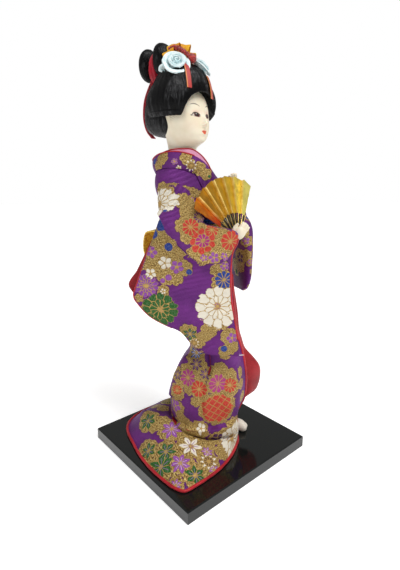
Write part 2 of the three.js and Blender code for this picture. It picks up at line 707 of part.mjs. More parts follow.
const skirtRoom = loft([90, 105, 120, 135, 150, 165, skirtTop + GAP].map((z) => bodyRing(z, 2 * GAP)));
const rightBag = sleeveBag(RIGHT_SLEEVE, RIGHT_SLEEVE_TURN, -1);
const rightBagGrown = sleeveBag(RIGHT_SLEEVE, RIGHT_SLEEVE_TURN, -1, GAP);
const leftCuff = bar([LEFT_ARM[1], LEFT_ARM[2]], ARM_RADIUS + 2.6, 14, 4);
const leftBag = join(sleeveBag(LEFT_SLEEVE, LEFT_SLEEVE_TURN, 1), leftCuff);

piece('right_sleeve', cut(rightBag, bodiceGrown, rightArmRoom, sleeveRoom, skirtRoom, fanRoom), BROCADE);
piece('left_sleeve', cut(leftBag, bodiceGrown, leftArmRoom, sleeveRoom, skirtRoom), BROCADE);

// The red lining that shows behind the right sleeve's open rear edge
const LINING_ROWS = [[-32.5, 177, -14], [-37, 168, -14], [-43, 156, -14], [-49, 144, -18], [-46.5, 139, -22]];
const LINING_DEPTH = 19.5;

function liningAt(u, v) {
  const row = v * (LINING_ROWS.length - 1);
  const low = Math.min(Math.floor(row), LINING_ROWS.length - 2);
  const t = row - low;
  const [a, b] = [LINING_ROWS[low], LINING_ROWS[low + 1]];
  const { along, out } = sleeveAxes(RIGHT_SLEEVE_TURN, -1);
  const p = along.clone().multiplyScalar(lerp(lerp(a[0], b[0], t), lerp(a[2], b[2], t), u));
  p.addScaledVector(out, LINING_DEPTH);
  p.z = lerp(a[1], b[1], t);
  return p;
}

piece('right_sleeve_lining', cut(sheet(2, 4, liningAt, LINING), rightBagGrown, waistRoom), RED_SILK);

// The obi's drum knot on her back
const DRUM_WIDTH = 44;
const DRUM_DEPTH = 24;
const DRUM_X = 0;
const drumFront = bodyAt(170)[1] + bodyAt(170)[3] + 2 * GAP + OBI_THICK + 1;

function drum() {
  const outline = new THREE.Shape();
  const [y0, y1] = [drumFront, drumFront + DRUM_DEPTH];
  outline.moveTo(y0, 158);
  outline.lineTo(y1 - 7, 157);
  outline.quadraticCurveTo(y1, 157.5, y1, 165);
  outline.quadraticCurveTo(y1, 176, y1 - 8, 179);
  outline.lineTo(y0, 181);
  outline.closePath();
  const block = new THREE.ExtrudeGeometry(outline, {
    depth: DRUM_WIDTH - 3, steps: 1, curveSegments: 5, bevelEnabled: true, bevelThickness: 1.5, bevelSize: 1.5,
    bevelOffset: -1.5, bevelSegments: 2 });
  return block.translate(0, 0, 1.5 - DRUM_WIDTH / 2).rotateX(Math.PI / 2).rotateZ(Math.PI / 2).translate(DRUM_X, 0, 0);
}

piece('obi_drum', cut(drum(), waistRoom), GOLD_BROCADE);

// The head: skull, neck and nose in one moulding, turned on a wooden peg

const head = new THREE.Group();
head.position.set(NECK[0], NECK[1], 0);
head.rotation.z = rad(HEAD_TURN);
doll.add(head);

// Rings of the head: height, forward shift of the middle, half-width, half-depth
const FACE_RINGS = [
  [241.6, 8.4, 3.4, 3.6], [242.5, 8.4, 7, 7], [244.5, 7.6, 10.6, 10.6], [248, 6.2, 13.6, 13.4],
  [252, 5, 15.6, 15], [256, 4, 16.8, 16], [260, 3.2, 17.4, 16.6], [264, 2.6, 17.6, 16.6],
  [269, 2, 17.3, 16.2], [274, 1.4, 15.8, 14.6], [278.5, 0.8, 12.4, 11.4], [281.5, 0.4, 7.5, 7],
];

function skull(grow, across = 18) {
  const rings = FACE_RINGS.map(([z, forward, a, b]) => {
    const lift = grow * (z - SKULL_MIDDLE_Z) / 20;
    return ellipse(z + lift, 0, -forward, a + grow, b + grow, across);
  });
  return loft(rings);
}

function neckPost(grow) {
  const profile = [
    [0, NECK_BASE_Z], [NECK_RADIUS + grow, NECK_BASE_Z], [NECK_RADIUS - 0.6 + grow, NECK_BASE_Z + 12],
    [NECK_RADIUS + grow, SKULL_MIDDLE_Z], [0, SKULL_MIDDLE_Z]];
  const outline = profile.map(([r, z]) => new THREE.Vector2(r, z));
  return new THREE.LatheGeometry(outline, 24).rotateX(Math.PI / 2);
}

const nose = egg([0, 0, 0], [1.5, 2.4, 3.6], 10, 8).rotateX(rad(-16)).translate(0, -19.8, 257.2);
const pegHole = cylinder([0, 0], NECK_BASE_Z - 5, NECK_BASE_Z + PEG_SEAT + GAP, PEG_RADIUS + PEG_CLEARANCE);
piece('head', cut(join(skull(0), neckPost(0), nose), pegHole), SKIN, head);
piece('neck_peg', cylinder([0, 0], pegLow, NECK_BASE_Z + PEG_SEAT, PEG_RADIUS), WOOD, head);

// Hair: a crown, two side wings, a back lobe and a two-lobed bun

const face = egg([0, -25, 256.5], [20.5, 17, 20], 22, 12, 2.2);
const headRoom = join(skull(GAP), neckPost(GAP));
const belowWings = box([-60, -60, 200], [60, 60, WING_FLOOR_Z]);

function crown(grow) {
  const shape = egg([0, 1, CROWN_Z], CROWN_SIZE.map((size) => size + grow), 18, 10, 2.5);
  const root = egg([0, 18.5, 286], [8 + grow, 8 + grow, 8.5 + grow], 12, 8);
  return join(shape, root);
}

const crownRoom = crown(GAP);
piece('hair_crown', cut(crown(0), headRoom, face, belowWings), HAIR, head);

const wingShape = (side, grow) => egg(
  [side * 13.5, 0, 271], [9.8 + grow, 18.5 + grow, 15 + grow], 18, 12, 2.3);
const wingRooms = [wingShape(-1, GAP), wingShape(1, GAP)];
for (const [name, side] of [['right', -1], ['left', 1]]) {
  piece(`hair_wing_${name}`, cut(wingShape(side, 0), crownRoom, headRoom, face, belowWings), HAIR, head);
}

const tabo = (grow) => egg([0, 10.5, 262], [17.5 + grow, 13 + grow, 13.6 + grow], 18, 10, 2.7);
piece('hair_back', cut(tabo(0), crownRoom, headRoom, ...wingRooms), HAIR, head);

const bunFront = (grow) => egg([0, 21, BUN_Z + 1], [8.2 + grow, 6.2 + grow, 10.8 + grow], 14, 8);
const bunRear = (grow) => egg([0, 36.2, BUN_Z - 1], [8 + grow, 5.4 + grow, 11.3 + grow], 14, 8);
piece('bun_front', cut(bunFront(0), crownRoom), HAIR, head);
piece('bun_rear', cut(bunRear(0), crownRoom), HAIR, head);
const bunCloth = (grow) => egg([0, 29, BUN_Z - 4], [7.2 + grow, 6.4 + grow, 10.4 + grow], 12, 6);
piece('bun_cloth', cut(bunCloth(0), crownRoom, bunFront(GAP), bunRear(GAP)), RED_SILK, head);

// Ribbon that bows out from the bun to the back lobe
const RIBBON = [[30.5, 290], [34, 285.5], [36.5, 281], [38, 271], [35, 260], [29.5, 251], [22.5, 246.4]];
const ribbonCurve = new THREE.CatmullRomCurve3(RIBBON.map(([y, z]) => V(0, y, z)), false, 'centripetal');
const ribbonAt = (u, v) => ribbonCurve.getPoint(v).add(V(lerp(-1.8, 1.8, u), 0, 0));
piece('back_ribbon', cut(sheet(1, 16, ribbonAt, LINING), tabo(GAP), crownRoom, bunRear(GAP), bunCloth(GAP)), RED_SILK, head);

// Two narrow bands over the front of the crown
function bandAt(degrees) {
  const turn = rad(degrees);
  return (u, v) => {
    const rise = rad(lerp(66, 4, v));
    const p = V(Math.cos(turn) * Math.cos(rise), Math.sin(turn) * Math.cos(rise), Math.sin(rise));
    const size = (Math.abs(p.x) ** 2.5 + Math.abs(p.y) ** 2.5 + Math.abs(p.z) ** 2.5) ** 0.4;
    p.divideScalar(size);
    const grown = CROWN_SIZE.map((s) => s + GAP + LINING);
    const side = V(-Math.sin(turn), Math.cos(turn), 0).multiplyScalar(lerp(-1.7, 1.7, u));
    return V(p.x * grown[0], 1 + p.y * grown[1], CROWN_Z + p.z * grown[2]).add(side);
  };
}
// Satin roses, a leaf, gold ribbon loops and a crepe ribbon with its ball

// Moves a piece made round the origin, facing +Z, to a point of the hair where it faces outwards
function seat(geometry, at, towards) {
  const turn = new THREE.Quaternion().setFromUnitVectors(V(0, 0, 1), V(...towards).normalize());
  return geometry.applyQuaternion(turn).translate(...at);
}

function rose(radius) {
  const petals = Array.from({ length: 5 }, (_, i) => {
    const petal = egg([0, 0, 0], [radius * 0.55, radius * 0.42, radius * 0.16], 8, 4);
    return petal.rotateX(0.45).translate(0, radius * 0.55, radius * 0.22).rotateZ(2 * Math.PI * i / 5);
  });
  const bud = egg([0, 0, radius * 0.3], [radius * 0.42, radius * 0.42, radius * 0.42], 8, 5);
  return join(bud, ...petals);
}

const hairRooms = [crownRoom, ...wingRooms];
const ROSE_RADIUS = 9.4;
const roseRight = (grow) => seat(rose(ROSE_RADIUS + grow), [-11.8, -6.4, 294], [-0.45, -0.68, 0.57]);
const roseLeft = (grow) => seat(rose(ROSE_RADIUS * 0.75 + grow), [10.5, -8.5, 294], [0.4, -0.5, 0.77]);
const crepe = (grow) => join(
  bar([[-4.4, 0, 308.4], [-2.4, -4.8, 305.6], [-0.8, -9.6, 300.4]], 1.9 + grow, 7, 5),
  egg([-0.2, -11.6, 298], [3.4 + grow, 3.4 + grow, 3.4 + grow], 10, 6));
piece('rose_right', cut(roseRight(0), ...hairRooms, crepe(GAP)), SATIN, head);
piece('rose_left', cut(roseLeft(0), ...hairRooms, crepe(GAP)), SATIN, head);

// The fan: seven blades on one rivet, each a boss, a stick and a tilted leaf

// A blade lying along +X from its rivet, its right-hand edge on the X axis
function blade() {
  const half = BLADE_ANGLE / 2;
  const far = BLADE_ANGLE + LEAF_LAP;
  const leaf = [...arc(FAN_LEAF_INNER, 0, far, 2), ...arc(FAN_RADIUS, far, 0, 3)];
  const [c, s] = [Math.cos(rad(half)), Math.sin(rad(half))];
  const stick = [[0.5, -1], [FAN_LEAF_INNER + 2, -1], [FAN_LEAF_INNER + 2, 1], [0.5, 1]].map(([r, side]) => {
    const w = side * STICK_WIDTH / 2;
    return [r * c - w * s, r * s + w * c];
  });
  const boss = arc(BOSS_RADIUS, 0, 360 - 30, 11);
  const hole = cylinder([0, 0], -5, 5, RIVET_RADIUS + RIVET_CLEARANCE, 12);
  const flat = cut(
    join(extrude(leaf, BLADE_THICK), extrude(stick, BLADE_THICK), extrude(boss, BLADE_THICK)), hole);
  return flat.rotateX(rad(BLADE_TILT));
}

for (let i = 1; i <= BLADE_COUNT; i++) {
  const turned = blade().rotateZ(rad(FAN_FIRST_ANGLE + (i - 1) * BLADE_ANGLE));
  turned.translate(0, 0, -(i - 1) * BLADE_PITCH).applyMatrix4(fanFrame);
  piece(`fan_blade_${i}`, turned, GOLD_FOIL);
}

const rivetFront = BLADE_THICK + GAP + 0.2;
const rivetBack = -(BLADE_COUNT - 1) * BLADE_PITCH - GAP - 0.2;
function rivet(grow) {
  const profile = [
    [0, rivetBack - 0.5 - grow], [RIVET_HEAD + grow, rivetBack - 0.5 - grow], [RIVET_HEAD + grow, rivetBack + grow],
    [RIVET_RADIUS + grow, rivetBack + grow], [RIVET_RADIUS + grow, rivetFront - grow],
    [RIVET_HEAD + grow, rivetFront - grow], [RIVET_HEAD + grow, rivetFront + 0.5 + grow],
    [0, rivetFront + 0.5 + grow]];
  const outline = profile.map(([r, z]) => new THREE.Vector2(r, z));
  return new THREE.LatheGeometry(outline, 12).rotateX(Math.PI / 2).applyMatrix4(fanFrame);
}
piece('fan_rivet', rivet(0), BRASS);

// Hands: a palm with four fingers and a thumb

function hand(centre, reach, spread, thumb, palmSize) {
  const [along, across] = [V(...reach).normalize(), V(...spread).normalize()];
  const facing = across.clone().cross(along);
  const frame = new THREE.Matrix4().makeBasis(across, along, facing).setPosition(...centre);
  const parts = [egg([0, 0, 0], palmSize, 10, 6)];
  for (let i = 0; i < 4; i++) {
    const x = (i - 1.5) * FINGER_RADIUS * 1.75;
    const length = FINGER_LENGTH - 0.5 * Math.abs(i - 1.3);
    const finger = new THREE.CapsuleGeometry(FINGER_RADIUS, length, 2, 6);
    parts.push(finger.rotateZ(-0.03 * (i - 1.5)).translate(x, palmSize[1] * 0.35 + length / 2, 0));
  }
  const digit = new THREE.CapsuleGeometry(FINGER_RADIUS * 1.05, FINGER_LENGTH * 0.55, 2, 6);
  parts.push(digit.rotateZ(thumb * 0.6).translate(-thumb * palmSize[0] * 0.85, palmSize[1] * 0.7, 0));
  return join(...parts).applyMatrix4(frame);
}

const rightHand = hand([7.8, -37.8, 183], [0.5, -0.42, 0.75], [0.66, -0.35, -0.64], 1, [4.4, 5, 3]);
piece('right_hand', cut(rightHand, rightArmRoom, rivet(GAP), fanRoom), SKIN);
const leftHand = hand([25.5, -12.6, 212], [-0.25, -0.05, 1], [1, 0, 0.25], -1, [4.2, 5.2, 2.6]);
piece('left_hand', cut(leftHand, leftArmRoom), SKIN);

const bandRooms = [...hairRooms, roseRight(GAP), roseLeft(GAP), crepe(GAP)];
for (const [name, degrees] of [['right', -121], ['left', -66]]) {
  piece(`hair_band_${name}`, cut(sheet(1, 10, bandAt(degrees), LINING), ...bandRooms), RED_SILK, head);
}

const leaf = egg([0, 0, 0], [3.4, 6, 1], 10, 6).rotateY(rad(-35)).rotateX(rad(40)).translate(-13.5, 3.4, 291.4);
piece('rose_leaf', cut(leaf, ...hairRooms, roseRight(GAP)), SATIN, head);

const goldLoop = egg([-1.2, 3.4, 297], [10, 5, 11], 16, 10, 2.3);
piece('gold_ribbon', cut(goldLoop, ...hairRooms, roseRight(GAP), bunFront(GAP), crepe(GAP)), GOLD_BROCADE, head);
piece('crepe_ribbon', cut(crepe(0), ...hairRooms), RED_SILK, head);

export default doll;
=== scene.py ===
"""A geisha doll in a brocade kimono on a lacquered board, built over its solid model."""
import math

import bpy
import numpy as np
from mathutils import Matrix, Vector
from mathutils.bvhtree import BVHTree


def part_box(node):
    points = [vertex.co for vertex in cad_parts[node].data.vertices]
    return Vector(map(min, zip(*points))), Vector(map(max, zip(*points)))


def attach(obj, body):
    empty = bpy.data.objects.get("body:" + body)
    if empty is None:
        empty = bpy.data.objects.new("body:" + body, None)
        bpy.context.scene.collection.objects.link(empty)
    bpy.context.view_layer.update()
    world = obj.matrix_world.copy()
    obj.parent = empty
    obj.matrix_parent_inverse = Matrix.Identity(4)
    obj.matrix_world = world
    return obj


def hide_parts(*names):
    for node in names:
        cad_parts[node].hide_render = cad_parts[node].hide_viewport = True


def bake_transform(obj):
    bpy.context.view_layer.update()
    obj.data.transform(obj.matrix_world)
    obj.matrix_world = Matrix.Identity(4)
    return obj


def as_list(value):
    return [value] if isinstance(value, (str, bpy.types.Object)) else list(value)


# Every length below is in millimetres until a mesh is made
MM = 0.001
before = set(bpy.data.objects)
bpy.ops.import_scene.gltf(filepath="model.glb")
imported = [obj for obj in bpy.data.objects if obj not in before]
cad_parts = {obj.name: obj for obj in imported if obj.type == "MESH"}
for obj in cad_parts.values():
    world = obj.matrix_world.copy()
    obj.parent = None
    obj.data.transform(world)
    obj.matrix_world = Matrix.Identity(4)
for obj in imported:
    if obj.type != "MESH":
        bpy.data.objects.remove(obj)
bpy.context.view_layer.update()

# The photograph's camera
IMAGE_WIDTH = 400
IMAGE_HEIGHT = 570
FOCAL_PX = 406.2
EYE = np.array([-197.95, -233.61, 217.58])
YAW = math.radians(-40.6948)
PITCH = math.radians(14.3346)
ROLL = math.radians(-0.371)
BACK = np.array([math.sin(YAW) * math.cos(PITCH), -math.cos(YAW) * math.cos(PITCH), math.sin(PITCH)])
LEVEL = np.array([math.cos(YAW), math.sin(YAW), 0])
RISE = np.cross(BACK, LEVEL)
RIGHT = LEVEL * math.cos(ROLL) + RISE * math.sin(ROLL)
UP = RISE * math.cos(ROLL) - LEVEL * math.sin(ROLL)


def to_pixels(points):
    """Where points land in the photograph."""
    away = np.asarray(points) - EYE
    depth = -(away @ BACK)
    across = IMAGE_WIDTH / 2 + FOCAL_PX * (away @ RIGHT) / depth
    down = IMAGE_HEIGHT / 2 - FOCAL_PX * (away @ UP) / depth
    return np.stack([across, down], -1)


def pixel_ray(across, down):
    ray = RIGHT * (across - IMAGE_WIDTH / 2) - UP * (down - IMAGE_HEIGHT / 2) - BACK * FOCAL_PX
    return ray / np.linalg.norm(ray)


camera_data = bpy.data.cameras.new("camera")
camera_data.sensor_width = 36
camera_data.lens = 36 * FOCAL_PX / IMAGE_HEIGHT
camera_data.clip_start = 0.01
camera = bpy.data.objects.new("camera", camera_data)
bpy.context.scene.collection.objects.link(camera)
camera.matrix_world = Matrix((
    (RIGHT[0], UP[0], BACK[0], EYE[0] * MM),
    (RIGHT[1], UP[1], BACK[1], EYE[1] * MM),
    (RIGHT[2], UP[2], BACK[2], EYE[2] * MM),
    (0, 0, 0, 1),
))
bpy.context.scene.camera = camera


# Numbers and curves

def through(rows):
    """A smooth curve through rows of numbers, the first number of each row being its place."""
    rows = np.array(rows, float)
    place, value = rows[:, 0], rows[:, 1:]
    slope = np.gradient(value, place, axis=0)

    def at(where):
        where = np.clip(np.asarray(where, float), place[0], place[-1])
        k = np.clip(np.searchsorted(place, where, side="right") - 1, 0, len(place) - 2)
        step = (place[k + 1] - place[k])[..., None]
        t = (where - place[k])[..., None] / step
        return (
            value[k] * (1 + 2 * t) * (1 - t) ** 2 + slope[k] * step * t * (1 - t) ** 2
            + value[k + 1] * t * t * (3 - 2 * t) + slope[k + 1] * step * t * t * (t - 1))
    return at


def ease(x, low, high):
    t = np.clip((np.asarray(x, float) - low) / (high - low), 0, 1)
    return t * t * (3 - 2 * t)


def mix(a, b, t):
    return a + (b - a) * t


def unit(v):
    return v / np.maximum(np.linalg.norm(v, axis=-1, keepdims=True), 1e-9)


def curve(points, count):
    """Points evenly spaced along a smooth line through the given ones."""
    points = np.array(points, float)
    place = np.concatenate([[0], np.cumsum(np.linalg.norm(np.diff(points, axis=0), axis=1))])
    at = through(np.column_stack([place, points]))
    fine = at(np.linspace(0, place[-1], 400))
    run = np.concatenate([[0], np.cumsum(np.linalg.norm(np.diff(fine, axis=0), axis=1))])
    return at(np.interp(np.linspace(0, run[-1], count), run, np.linspace(0, place[-1], 400)))


def ripple(x, y, seed):
    """A slow, repeatable unevenness between about -1 and 1."""
    a = 0.7 + 0.37 * seed
    return (
        np.sin(x * 1.0 + 1.7 * np.sin(y * 0.61 + a)) * 0.5
        + np.sin(y * 1.13 + 2.1 * np.sin(x * 0.47 + a * 2)) * 0.3
        + np.sin(x * 2.3 - y * 1.9 + a * 3) * 0.2)


def line_distance(pixels, line):
    """Distance to a broken line, the side of it, and how far along it the nearest point is, from 0 to 1."""
    line = np.array(line, float)
    lengths = np.linalg.norm(np.diff(line, axis=0), axis=1)
    before = np.concatenate([[0], np.cumsum(lengths)])
    best = np.full(pixels.shape[:-1], 1e9)
    side = np.zeros(pixels.shape[:-1])
    place = np.zeros(pixels.shape[:-1])
    for k, (a, b) in enumerate(zip(line[:-1], line[1:])):
        along = (b - a) / lengths[k]
        off = pixels - a
        t = np.clip(off @ along, 0, lengths[k])
        gap = off - t[..., None] * along
        far = np.linalg.norm(gap, axis=-1)
        closer = far < best
        best = np.where(closer, far, best)
        side = np.where(closer, np.sign(along[0] * off[..., 1] - along[1] * off[..., 0]), side)
        place = np.where(closer, (before[k] + t) / before[-1], place)
    return best, side, place


def press(points, normals, lines):
    """Folds the cloth where the photograph shows a fold: each line is its pixels, a height and a width.
    A step raises the side on the line's left and fades away from it; a ridge or tuck follows the line."""
    pixels = to_pixels(points)
    seen = ease(normals @ BACK, -0.1, 0.25)
    lift = np.zeros(points.shape[:-1])
    for kind, line, height, width in lines:
        far, side, place = line_distance(pixels, line)
        ends = ease(place, -0.001, 0.12) * ease(1 - place, -0.001, 0.12)
        if kind == "ridge":
            lift += height * ends * np.exp(-(far / width) ** 2)
        else:
            signed = far * side
            lift += height * ends * ease(signed, -0.6, 0.9) * np.exp(-(np.maximum(signed, 0) / width) ** 2)
    return points + normals * (lift * seen)[..., None]


# Meshes

def facing(normals, way, picked=...):
    """Normals, all turned about if the picked ones look against a way."""
    return -normals if np.mean((normals * way)[picked].sum(-1)) < 0 else normals


def along_axes(grid, first, second, third):
    """Points of a grid laid out along three axes."""
    return grid[..., :1] * first + grid[..., 1:2] * second + grid[..., 2:] * third


def ball_ways(rise, turn):
    """Directions from a height and a turn, both as angles."""
    return np.stack(np.broadcast_arrays(
        np.cos(rise) * np.cos(turn), np.cos(rise) * np.sin(turn), np.sin(rise)), -1)


def grid_normals(points, wrap=False):
    if wrap:
        across = np.roll(points, -1, 1) - np.roll(points, 1, 1)
    else:
        across = np.gradient(points, axis=1)
    down = np.gradient(points, axis=0)
    return unit(np.cross(across, down))


def grid_faces(rows, cols, wrap, start=0, flip=False):
    r, c = np.meshgrid(np.arange(rows - 1), np.arange(cols if wrap else cols - 1), indexing="ij")
    n = (c + 1) % cols
    quads = np.stack([r * cols + c, r * cols + n, (r + 1) * cols + n, (r + 1) * cols + c], -1).reshape(-1, 4)
    return (quads[:, ::-1] if flip else quads) + start


def new_object(name, points, faces, materials, ids, uv, sharp=50):
    """A mesh object from points in millimetres; uv gives one pair per point."""
    mesh = bpy.data.meshes.new(name)
    mesh.from_pydata((np.asarray(points) * MM).tolist(), [], [list(map(int, f)) for f in faces])
    for material in materials:
        mesh.materials.append(material)
    if ids is not None:
        mesh.polygons.foreach_set("material_index", np.asarray(ids, np.int32))
    mesh.polygons.foreach_set("use_smooth", [True] * len(mesh.polygons))
    corners = np.zeros(len(mesh.loops), np.int32)
    mesh.loops.foreach_get("vertex_index", corners)
    layer = mesh.uv_layers.new(name="cloth")
    layer.data.foreach_set("uv", np.asarray(uv, np.float32)[corners].ravel())
    mesh.update()
    mesh.set_sharp_from_angle(angle=math.radians(sharp))
    made = bpy.data.objects.new(name, mesh)
    bpy.context.scene.collection.objects.link(made)
    return made


def finish(made, body, slot, *nodes):
    """Hangs a piece on the body that carries it and hides the solids it stands for; slot, the finish it takes,
    is not used.
    """
    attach(made, body)
    if nodes:
        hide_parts(*nodes)
    return made


def cloth_lengths(points):
    """Cloth coordinates in millimetres along and down a grid."""
    across = np.linalg.norm(np.diff(points, axis=1), axis=-1).mean(0)
    down = np.linalg.norm(np.diff(points, axis=0), axis=-1).mean(1)
    u = np.concatenate([[0], np.cumsum(across)])
    v = np.concatenate([[0], np.cumsum(down)])
    return np.stack(np.meshgrid(u, v), -1)


def shell(name, points, thick, materials, away, wrap=False):
    """Cloth with a thickness over a grid of points, its outer face first; away is on its inner side."""
    rows, cols = points.shape[:2]
    normal = grid_normals(points, wrap)
    flip = np.mean(np.sum(normal * unit(points - np.asarray(away, float)), -1)) < 0
    if flip:
        normal = -normal
    inner = points - normal * thick
    count = rows * cols
    outer_faces = grid_faces(rows, cols, wrap, 0, flip)
    inner_faces = grid_faces(rows, cols, wrap, count, not flip)
    sides = []

    def rim(edge, turned):
        for a, b in zip(edge[:-1], edge[1:]):
            sides.append([b, a, a + count, b + count] if turned else [a, b, b + count, a + count])
    across = list(range(cols)) + ([0] if wrap else [])
    rim(across, not flip)
    rim([(rows - 1) * cols + c for c in across], flip)
    if not wrap:
        rim([r * cols for r in range(rows)], flip)
        rim([r * cols + cols - 1 for r in range(rows)], not flip)
    faces = outer_faces.tolist() + inner_faces.tolist() + sides
    ids = [0] * len(outer_faces) + [len(materials) - 1] * (len(inner_faces) + len(sides))
    if len(materials) > 1:
        ids[-len(sides):] = [0] * len(sides)
    uv = cloth_lengths(points).reshape(-1, 2)
    made = new_object(
        name, np.concatenate([points.reshape(-1, 3), inner.reshape(-1, 3)]), faces, materials, ids,
        np.concatenate([uv, uv]))
    made["outer"] = len(outer_faces)
    return made


def closed(name, points, material, sharp=60):
    """A closed body from a stack of rings, capped at both ends."""
    rows, cols = points.shape[:2]
    flat = points.reshape(-1, 3)
    ends = np.stack([points[0].mean(0), points[-1].mean(0)])
    faces = grid_faces(rows, cols, True).tolist()
    first, last = rows * cols, rows * cols + 1
    for c in range(cols):
        n = (c + 1) % cols
        faces.append([c, first, n])
        faces.append([(rows - 1) * cols + n, last, (rows - 1) * cols + c])
    everything = np.concatenate([flat, ends])
    volume = 0.0
    for face in faces:
        a, b, c = everything[face[0]], everything[face[1]], everything[face[2]]
        volume += np.dot(a, np.cross(b, c))
        if len(face) == 4:
            volume += np.dot(everything[face[0]], np.cross(everything[face[2]], everything[face[3]]))
    if volume < 0:
        faces = [face[::-1] for face in faces]
    lengths = cloth_lengths(points).reshape(-1, 2)
    uv = np.concatenate([lengths, lengths[:1], lengths[-1:]])
    return new_object(name, everything, faces, [material], None, uv, sharp)


def ring_round(centre, tangent, start, sides, flat):
    side = unit(start - tangent * np.dot(start, tangent))
    other = np.cross(tangent, side)
    turn = np.linspace(0, 2 * np.pi, sides, endpoint=False)[:, None]
    return centre + (np.cos(turn) * side + flat * np.sin(turn) * other), side


def tube(name, points, radius, material, sides, flat=1.0, wobble=None):
    """A bar along points; radius may be a list, and wobble(along, round) adds to it."""
    points = np.asarray(points, float)
    radius = np.broadcast_to(np.asarray(radius, float), len(points))
    tangents = unit(np.gradient(points, axis=0))
    side = np.array([0, 0, 1.0])
    if abs(np.dot(side, tangents[0])) > 0.9:
        side = np.array([1.0, 0, 0])
    rings = []
    for k, (p, t) in enumerate(zip(points, tangents)):
        ring, side = ring_round(p, t, side, sides, flat)
        size = radius[k]
        if wobble is not None:
            round_it = np.linspace(0, 2 * np.pi, sides, endpoint=False)
            size = size + wobble(k / (len(points) - 1), round_it)[:, None]
        rings.append(p + (ring - p) * size)
    return closed(name, np.array(rings), material)


def super_grid(centre, size, power, rows, cols):
    """Rings of a stretched sphere, squarer above a power of 2."""
    rise = np.linspace(-np.pi / 2 + 0.05, np.pi / 2 - 0.05, rows)[:, None]
    turn = np.linspace(0, 2 * np.pi, cols, endpoint=False)[None, :]
    way = ball_ways(rise, turn)
    length = (np.abs(way) ** power).sum(-1, keepdims=True) ** (1 / power)
    return np.asarray(centre) + way / length * np.asarray(size)


def joined(name, parts, material, voxel=None, rounds=2):
    """Several closed bodies made one; with a voxel size their joints are melted together."""
    for part in parts:
        part.select_set(True)
    with bpy.context.temp_override(
            active_object=parts[0], object=parts[0], selected_objects=parts, selected_editable_objects=parts):
        bpy.ops.object.join()
    made = parts[0]
    made.name = name
    if voxel:
        remesh = made.modifiers.new("melt", "REMESH")
        remesh.mode = "VOXEL"
        remesh.voxel_size = voxel * MM
        soften = made.modifiers.new("soften", "SMOOTH")
        soften.factor = 0.5
        soften.iterations = rounds
        graph = bpy.context.evaluated_depsgraph_get()
        mesh = bpy.data.meshes.new_from_object(made.evaluated_get(graph))
        made.modifiers.clear()
        made.data = mesh
        mesh.materials.clear()
        mesh.materials.append(material)
        mesh.polygons.foreach_set("use_smooth", [True] * len(mesh.polygons))
    made.data.name = name
    return made


def cloth(name, points, thick, looks, away, slot, nodes, width, held, rests_on, body="figure", pattern=None,
          wrap=False):
    """A piece of cloth from its grid: patterned, carried by its body, and its flat area worked out."""
    made = shell(name, points, thick, looks, away, wrap)
    if pattern:
        decorate(made, *pattern)
    finish(made, body, slot, *nodes)
    return sheet_of(made, width, held, rests_on)


def padded(made, body, slot, node):
    finish(made, body, slot, node)


# Strips are narrower, but no side may be written smaller
NARROWEST = 10.2


def sheet_of(made, width, held, rests_on):
    """Works out the cloth's flat area, which is what its outer side measures, and returns the piece."""
    area = sum(p.area for p in list(made.data.polygons)[:made["outer"]])
    length = max(area / (width * MM), NARROWEST * MM)
    area = min(area, width * MM * length)
    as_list(rests_on)
    return made


# Materials

def colour(red, green, blue):
    """A colour as it is seen, from 0 to 255, as light."""
    values = np.array([red, green, blue]) / 255
    light = np.where(values <= 0.04045, values / 12.92, ((values + 0.055) / 1.055) ** 2.4)
    return (*[float(x) for x in light], 1.0)


def sums(operation, turned=False):
    """How a value takes part in a sum, on its left or, turned, on its right."""
    def act(self, other):
        return self.shader.math(operation, *((other, self) if turned else (self, other)))
    return act


class Value:
    """A number that a material's nodes work out, written in sums like any other number."""
    __add__, __radd__ = sums("ADD"), sums("ADD", True)
    __sub__, __rsub__ = sums("SUBTRACT"), sums("SUBTRACT", True)
    __mul__, __rmul__ = sums("MULTIPLY"), sums("MULTIPLY", True)
    __truediv__, __rtruediv__ = sums("DIVIDE"), sums("DIVIDE", True)

    def __init__(self, shader, socket):
        self.shader = shader
        self.socket = socket


